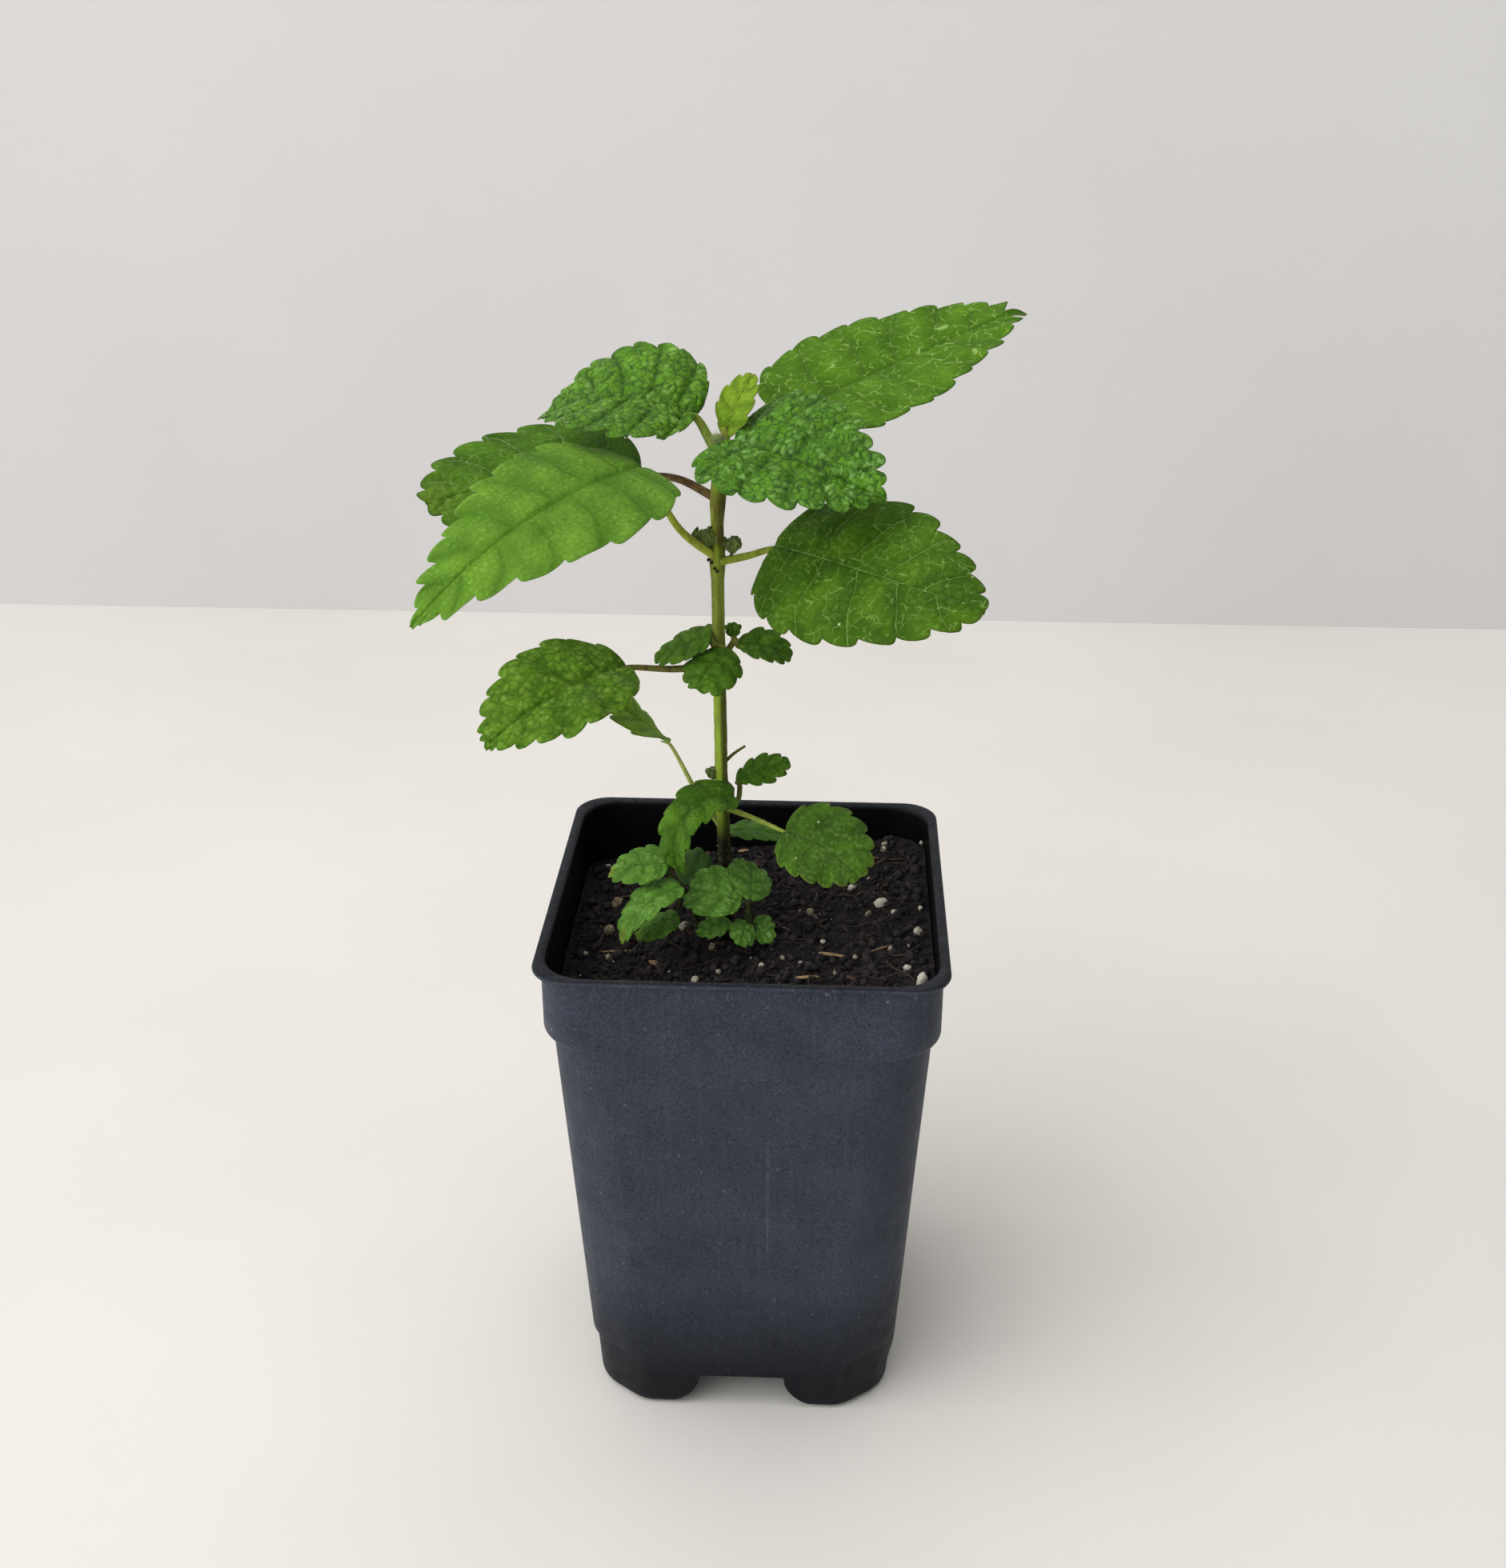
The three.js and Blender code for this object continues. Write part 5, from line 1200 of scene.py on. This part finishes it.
def build_leaves():
    down = []
    for number, (name, terms) in enumerate(BLADES.items()):
        start, arch, radius = PETIOLES[name]
        face = blade(terms, number + 11, **BLADE_DETAIL[name])
        stalk, path, radii = petiole(start, terms, radius, arch)
        material = leaf_material(name + "_skin", **LEAF_LOOKS[name])
        add_piece(name + "_blade", join([face, stalk]), material, [name])
        down.append(down_on_tube(path[HAIRY], radii[HAIRY], 7, (0.3, 0.8), number + 60))
    return down


def build_sprays():
    down = []
    for number, (name, (stalk, radius, blades)) in enumerate(SPRAYS.items()):
        path = smooth_path(stalk, STALK_STEPS)
        parts = [marked(tube(path, radius), "stalk", 1)]
        down.append(down_on_tube(path, radius, 6, (0.3, 0.7), number + 80))
        for order, terms in enumerate(blades):
            start = stalk[-2] if stalk[-1][2] > terms[2] + LOW_LEAF_DROP else stalk[-1]
            parts.append(blade(terms, 101 + 10 * number + order, **SMALL_DETAIL))
            parts.append(petiole(start, terms, SMALL_PETIOLE)[0])
        look = name if name in LEAF_LOOKS else name.split("_")[0] + "_shoots"
        material = leaf_material(name + "_skin", **LEAF_LOOKS[look])
        add_piece(name + "_leaves", join(parts), material, [name])
    return down


def stem_part(path, size):
    """The square stem with its rounded corners, and the stub of a lost petiole."""
    angle = np.linspace(0, 2 * np.pi, STEM_SIDES, endpoint=False)
    from_face = angle - math.radians(STEM_TURN)
    section = 1 / np.maximum(np.abs(np.cos(from_face)), np.abs(np.sin(from_face)))
    section = np.minimum(section, STEM_CORNER) - 0.03 * np.cos(4 * from_face) ** 2
    ring = np.stack([np.cos(angle), np.sin(angle), 0 * angle], -1) * section[:, None]
    points = path[:, None] + ring[None] * size[:, None, None]
    points = points + 0.04 * wobble(points, 1.5, 51)[..., None] * ring[None]
    # side is how far each point faces right, where the skin paints its brown side and painted shade.
    body = (points.reshape(-1, 3), [grid_faces(len(path), STEM_SIDES, wrap=True)],
            {"side": np.tile(np.cos(angle), len(path))})
    stub = tube(smooth_path(STUB_PATH, 16), STUB_RADIUS * np.linspace(1.1, 0.7, 17), 8)
    return join([body, marked(stub, "side", 0.8)])


def stem_bud(number, at, radii):
    """A round bud in a leaf axil: a core under seven small scales."""
    at, radii = np.array(at, float), np.array(radii, float)
    parts = [ovoid(at, radii * 0.92, 90 + number, 0.06)]
    for k in range(7):
        heading = 51 * k + 20 * number
        out = direction(heading, -10) * radii * 0.85
        base = at + out * np.array([1, 1, 0.3]) - UP * radii[2] * 0.35
        length = radii[0] * (1.7 if k % 2 else 1.35)
        terms = (*base, heading, 20, 78, 20, 0, 0, length, length * 1.05, 0.45, 0.8, 0, 0.5, 3, 0.18)
        parts.append(blade(terms, 130 + 7 * number + k, 6, 6, 0.03, 3, 0.05, 0.25))
    return parts


def build_stem():
    path = smooth_path(STEM_PATH, 260)
    share = np.linspace(0, 1, len(path))
    nearest = np.min([np.abs(path[:, 2] - h) for h in NODE_HEIGHTS], 0)
    swelling = NODE_SWELLING * (1 - smoothstep(nearest, *SWELLING_REACH))
    size = STEM_HALF * (STEM_TAPER[0] + (STEM_TAPER[1] - STEM_TAPER[0]) * share + swelling)
    add_piece("stem_body", stem_part(path, size), stem_material(), ["main_stem"])
    buds = [part for number, bud in enumerate(BUDS) for part in stem_bud(number, *bud)]
    add_piece("stem_buds", join([(p, f, {}) for p, f, _ in buds]), bud_material())
    return down_on_tube(path[STEM_BARE:], size[STEM_BARE:] * STEM_MEAN, 14, (0.3, 0.85), 57)


def build_plant():
    down = build_leaves() + build_sprays() + [build_stem()]
    rng = np.random.default_rng(77)
    fuzz = unit(rng.normal(0, 1, (TIP_HAIRS, 3)))
    fuzz[:, 2] = np.abs(fuzz[:, 2])
    down.append((TIP_BUD + fuzz * [1.5, 1.3, 1.3], fuzz, rng.uniform(0.6, 1.7, TIP_HAIRS)))
    roots, aims, lengths = (np.concatenate(items) for items in zip(*down))
    add_piece("stem_and_stalk_hairs", hairs(roots, aims, lengths, 0.03, 78), hair_material())
    add_piece("tip_bud", ovoid(TIP_BUD, [1.7, 1.5, 1.6], 79, 0.1), bud_material())
    places, sizes = [scar[:3] for scar in SCARS], [scar[3] for scar in SCARS]
    black = plain_speckled("scar_bark", (52, 40, 30), (10, 8, 8), 0.3)
    add_piece("stem_scars", lumps(places, sizes, 80, (0.6, 1.2), 0.2, 1), black)


GRAINS = [  # x, y, radius, whiteness: the perlite that shows
    (-32.4, 15.3, 1.9, 0.12), (-32.7, 1.9, 1.6, 0.2), (30.4, 6.4, 1.9, 0.95), (33.5, 1.1, 1.2, 0.7),
    (23.8, 16.2, 1.2, 0.85), (38.7, -6.8, 1.5, 0.55), (38.8, -28.2, 1.7, 0.95), (35.9, -21.9, 1.1, 0.9),
    (-36.9, 35.9, 0.8, 0.8), (3.6, -18.0, 1.0, 0.6), (8.3, -16.5, 0.8, 0.45), (12.3, -18.3, 0.6, 0.45),
    (17.2, -8.7, 0.6, 0.9), (14.2, 4.9, 1.1, 0.25), (27.6, 2.6, 1.2, 0.15), (32.0, 37.4, 1.0, 0.5),
    (31.7, 34.6, 0.9, 0.5), (-11.0, -22.2, 0.9, 0.6), (-31.9, -8.4, 0.9, 0.3), (-37.2, -7.1, 0.8, 0.7),
    (41.0, 36.0, 0.6, 0.8), (39.6, 3.6, 0.6, 0.8), (-15.1, 0.9, 1.4, 0.4), (-8.0, -8.3, 1.0, 0.3),
    (-5.9, -19.4, 0.8, 0.5), (27.9, 20.6, 0.6, 0.5), (24.6, -15.3, 0.8, 0.35), (32.3, -12.9, 0.7, 0.3),
    (36.6, -11.6, 0.6, 0.4), (20.0, -22.5, 0.6, 0.35),
]
SPLINTERS = [  # x, y, heading, length, width: slivers that show
    (19.4, -13.9, -8, 6.4, 1.2), (-29.8, -6.9, 2, 8.4, 0.7), (-19.9, -14.0, -20, 4.6, 1.7),
    (29.5, -13.0, 30, 8.0, 0.6), (14.0, -24.0, 14, 5.4, 1.3), (7.0, -1.6, 4, 5.0, 0.6),
    (-3.1, 39.5, 30, 3.0, 1.2), (26.0, 32.0, -12, 9.0, 1.4), (-24.0, 22.0, 60, 6.0, 0.9),
]


def build_ground():
    add_piece("soil_bed", build_soil(), soil_material(), ["soil"])
    crumb = plain_speckled("peat_crumb", (58, 51, 52), (15, 13, 15), 0.5)
    add_piece("soil_crumbs", crumbs(), crumb)
    fibre = plain_speckled("peat_fibre", (76, 64, 54), (28, 24, 24), 1.0)
    thin = fibres(150, 43, (3, 9), (0.06, 0.16), 0.9)
    thick = fibres(40, 44, (6, 14), (0.1, 0.24), 1.2)
    add_piece("soil_fibres", join([thin, thick]), fibre)
    bark = plain_speckled("bark_chip", (84, 62, 52), (28, 22, 22), 0.8)
    x, y, rng = soil_places(110, 45, 4)
    spread = np.column_stack([x, y, rng.uniform(0, 360, len(x)), rng.uniform(1.6, 5.0, len(x)),
                              rng.uniform(0.5, 1.5, len(x))])
    add_piece("bark_chips", slivers(spread.tolist(), 46), bark)
    wood = plain_speckled("wood_splinter", (176, 148, 110), (124, 100, 74), 0.8)
    add_piece("wood_splinters", slivers(SPLINTERS, 47), wood)
    shown = np.array(GRAINS)
    x, y, rng = soil_places(70, 48, 2)
    size = rng.uniform(0.14, 0.36, len(x))
    whiteness = rng.uniform(-0.1, 0.7, len(x))
    x, y = np.append(shown[:, 0], x), np.append(shown[:, 1], y)
    size, whiteness = np.append(shown[:, 2], size), np.append(shown[:, 3], whiteness)
    places = np.stack([x, y, soil_top(x, y) + 0.45 * size + 0.2], -1)
    points, faces, _ = lumps(places, 0.9 * size, 49, (0.55, 1.15), 0.24, 1)
    grains = (points, faces, {"tone": np.repeat(whiteness, len(points) // len(x))})
    perlite = plain_speckled("perlite_grain", (220, 214, 198), (124, 104, 72), 0.9, (0.8, 0.95), 0.3)
    add_piece("perlite", grains, perlite)


build_camera()
build_light()
build_stage()
build_pot()
build_ground()
build_plant()

bpy.context.scene.view_settings.view_transform = "Standard"
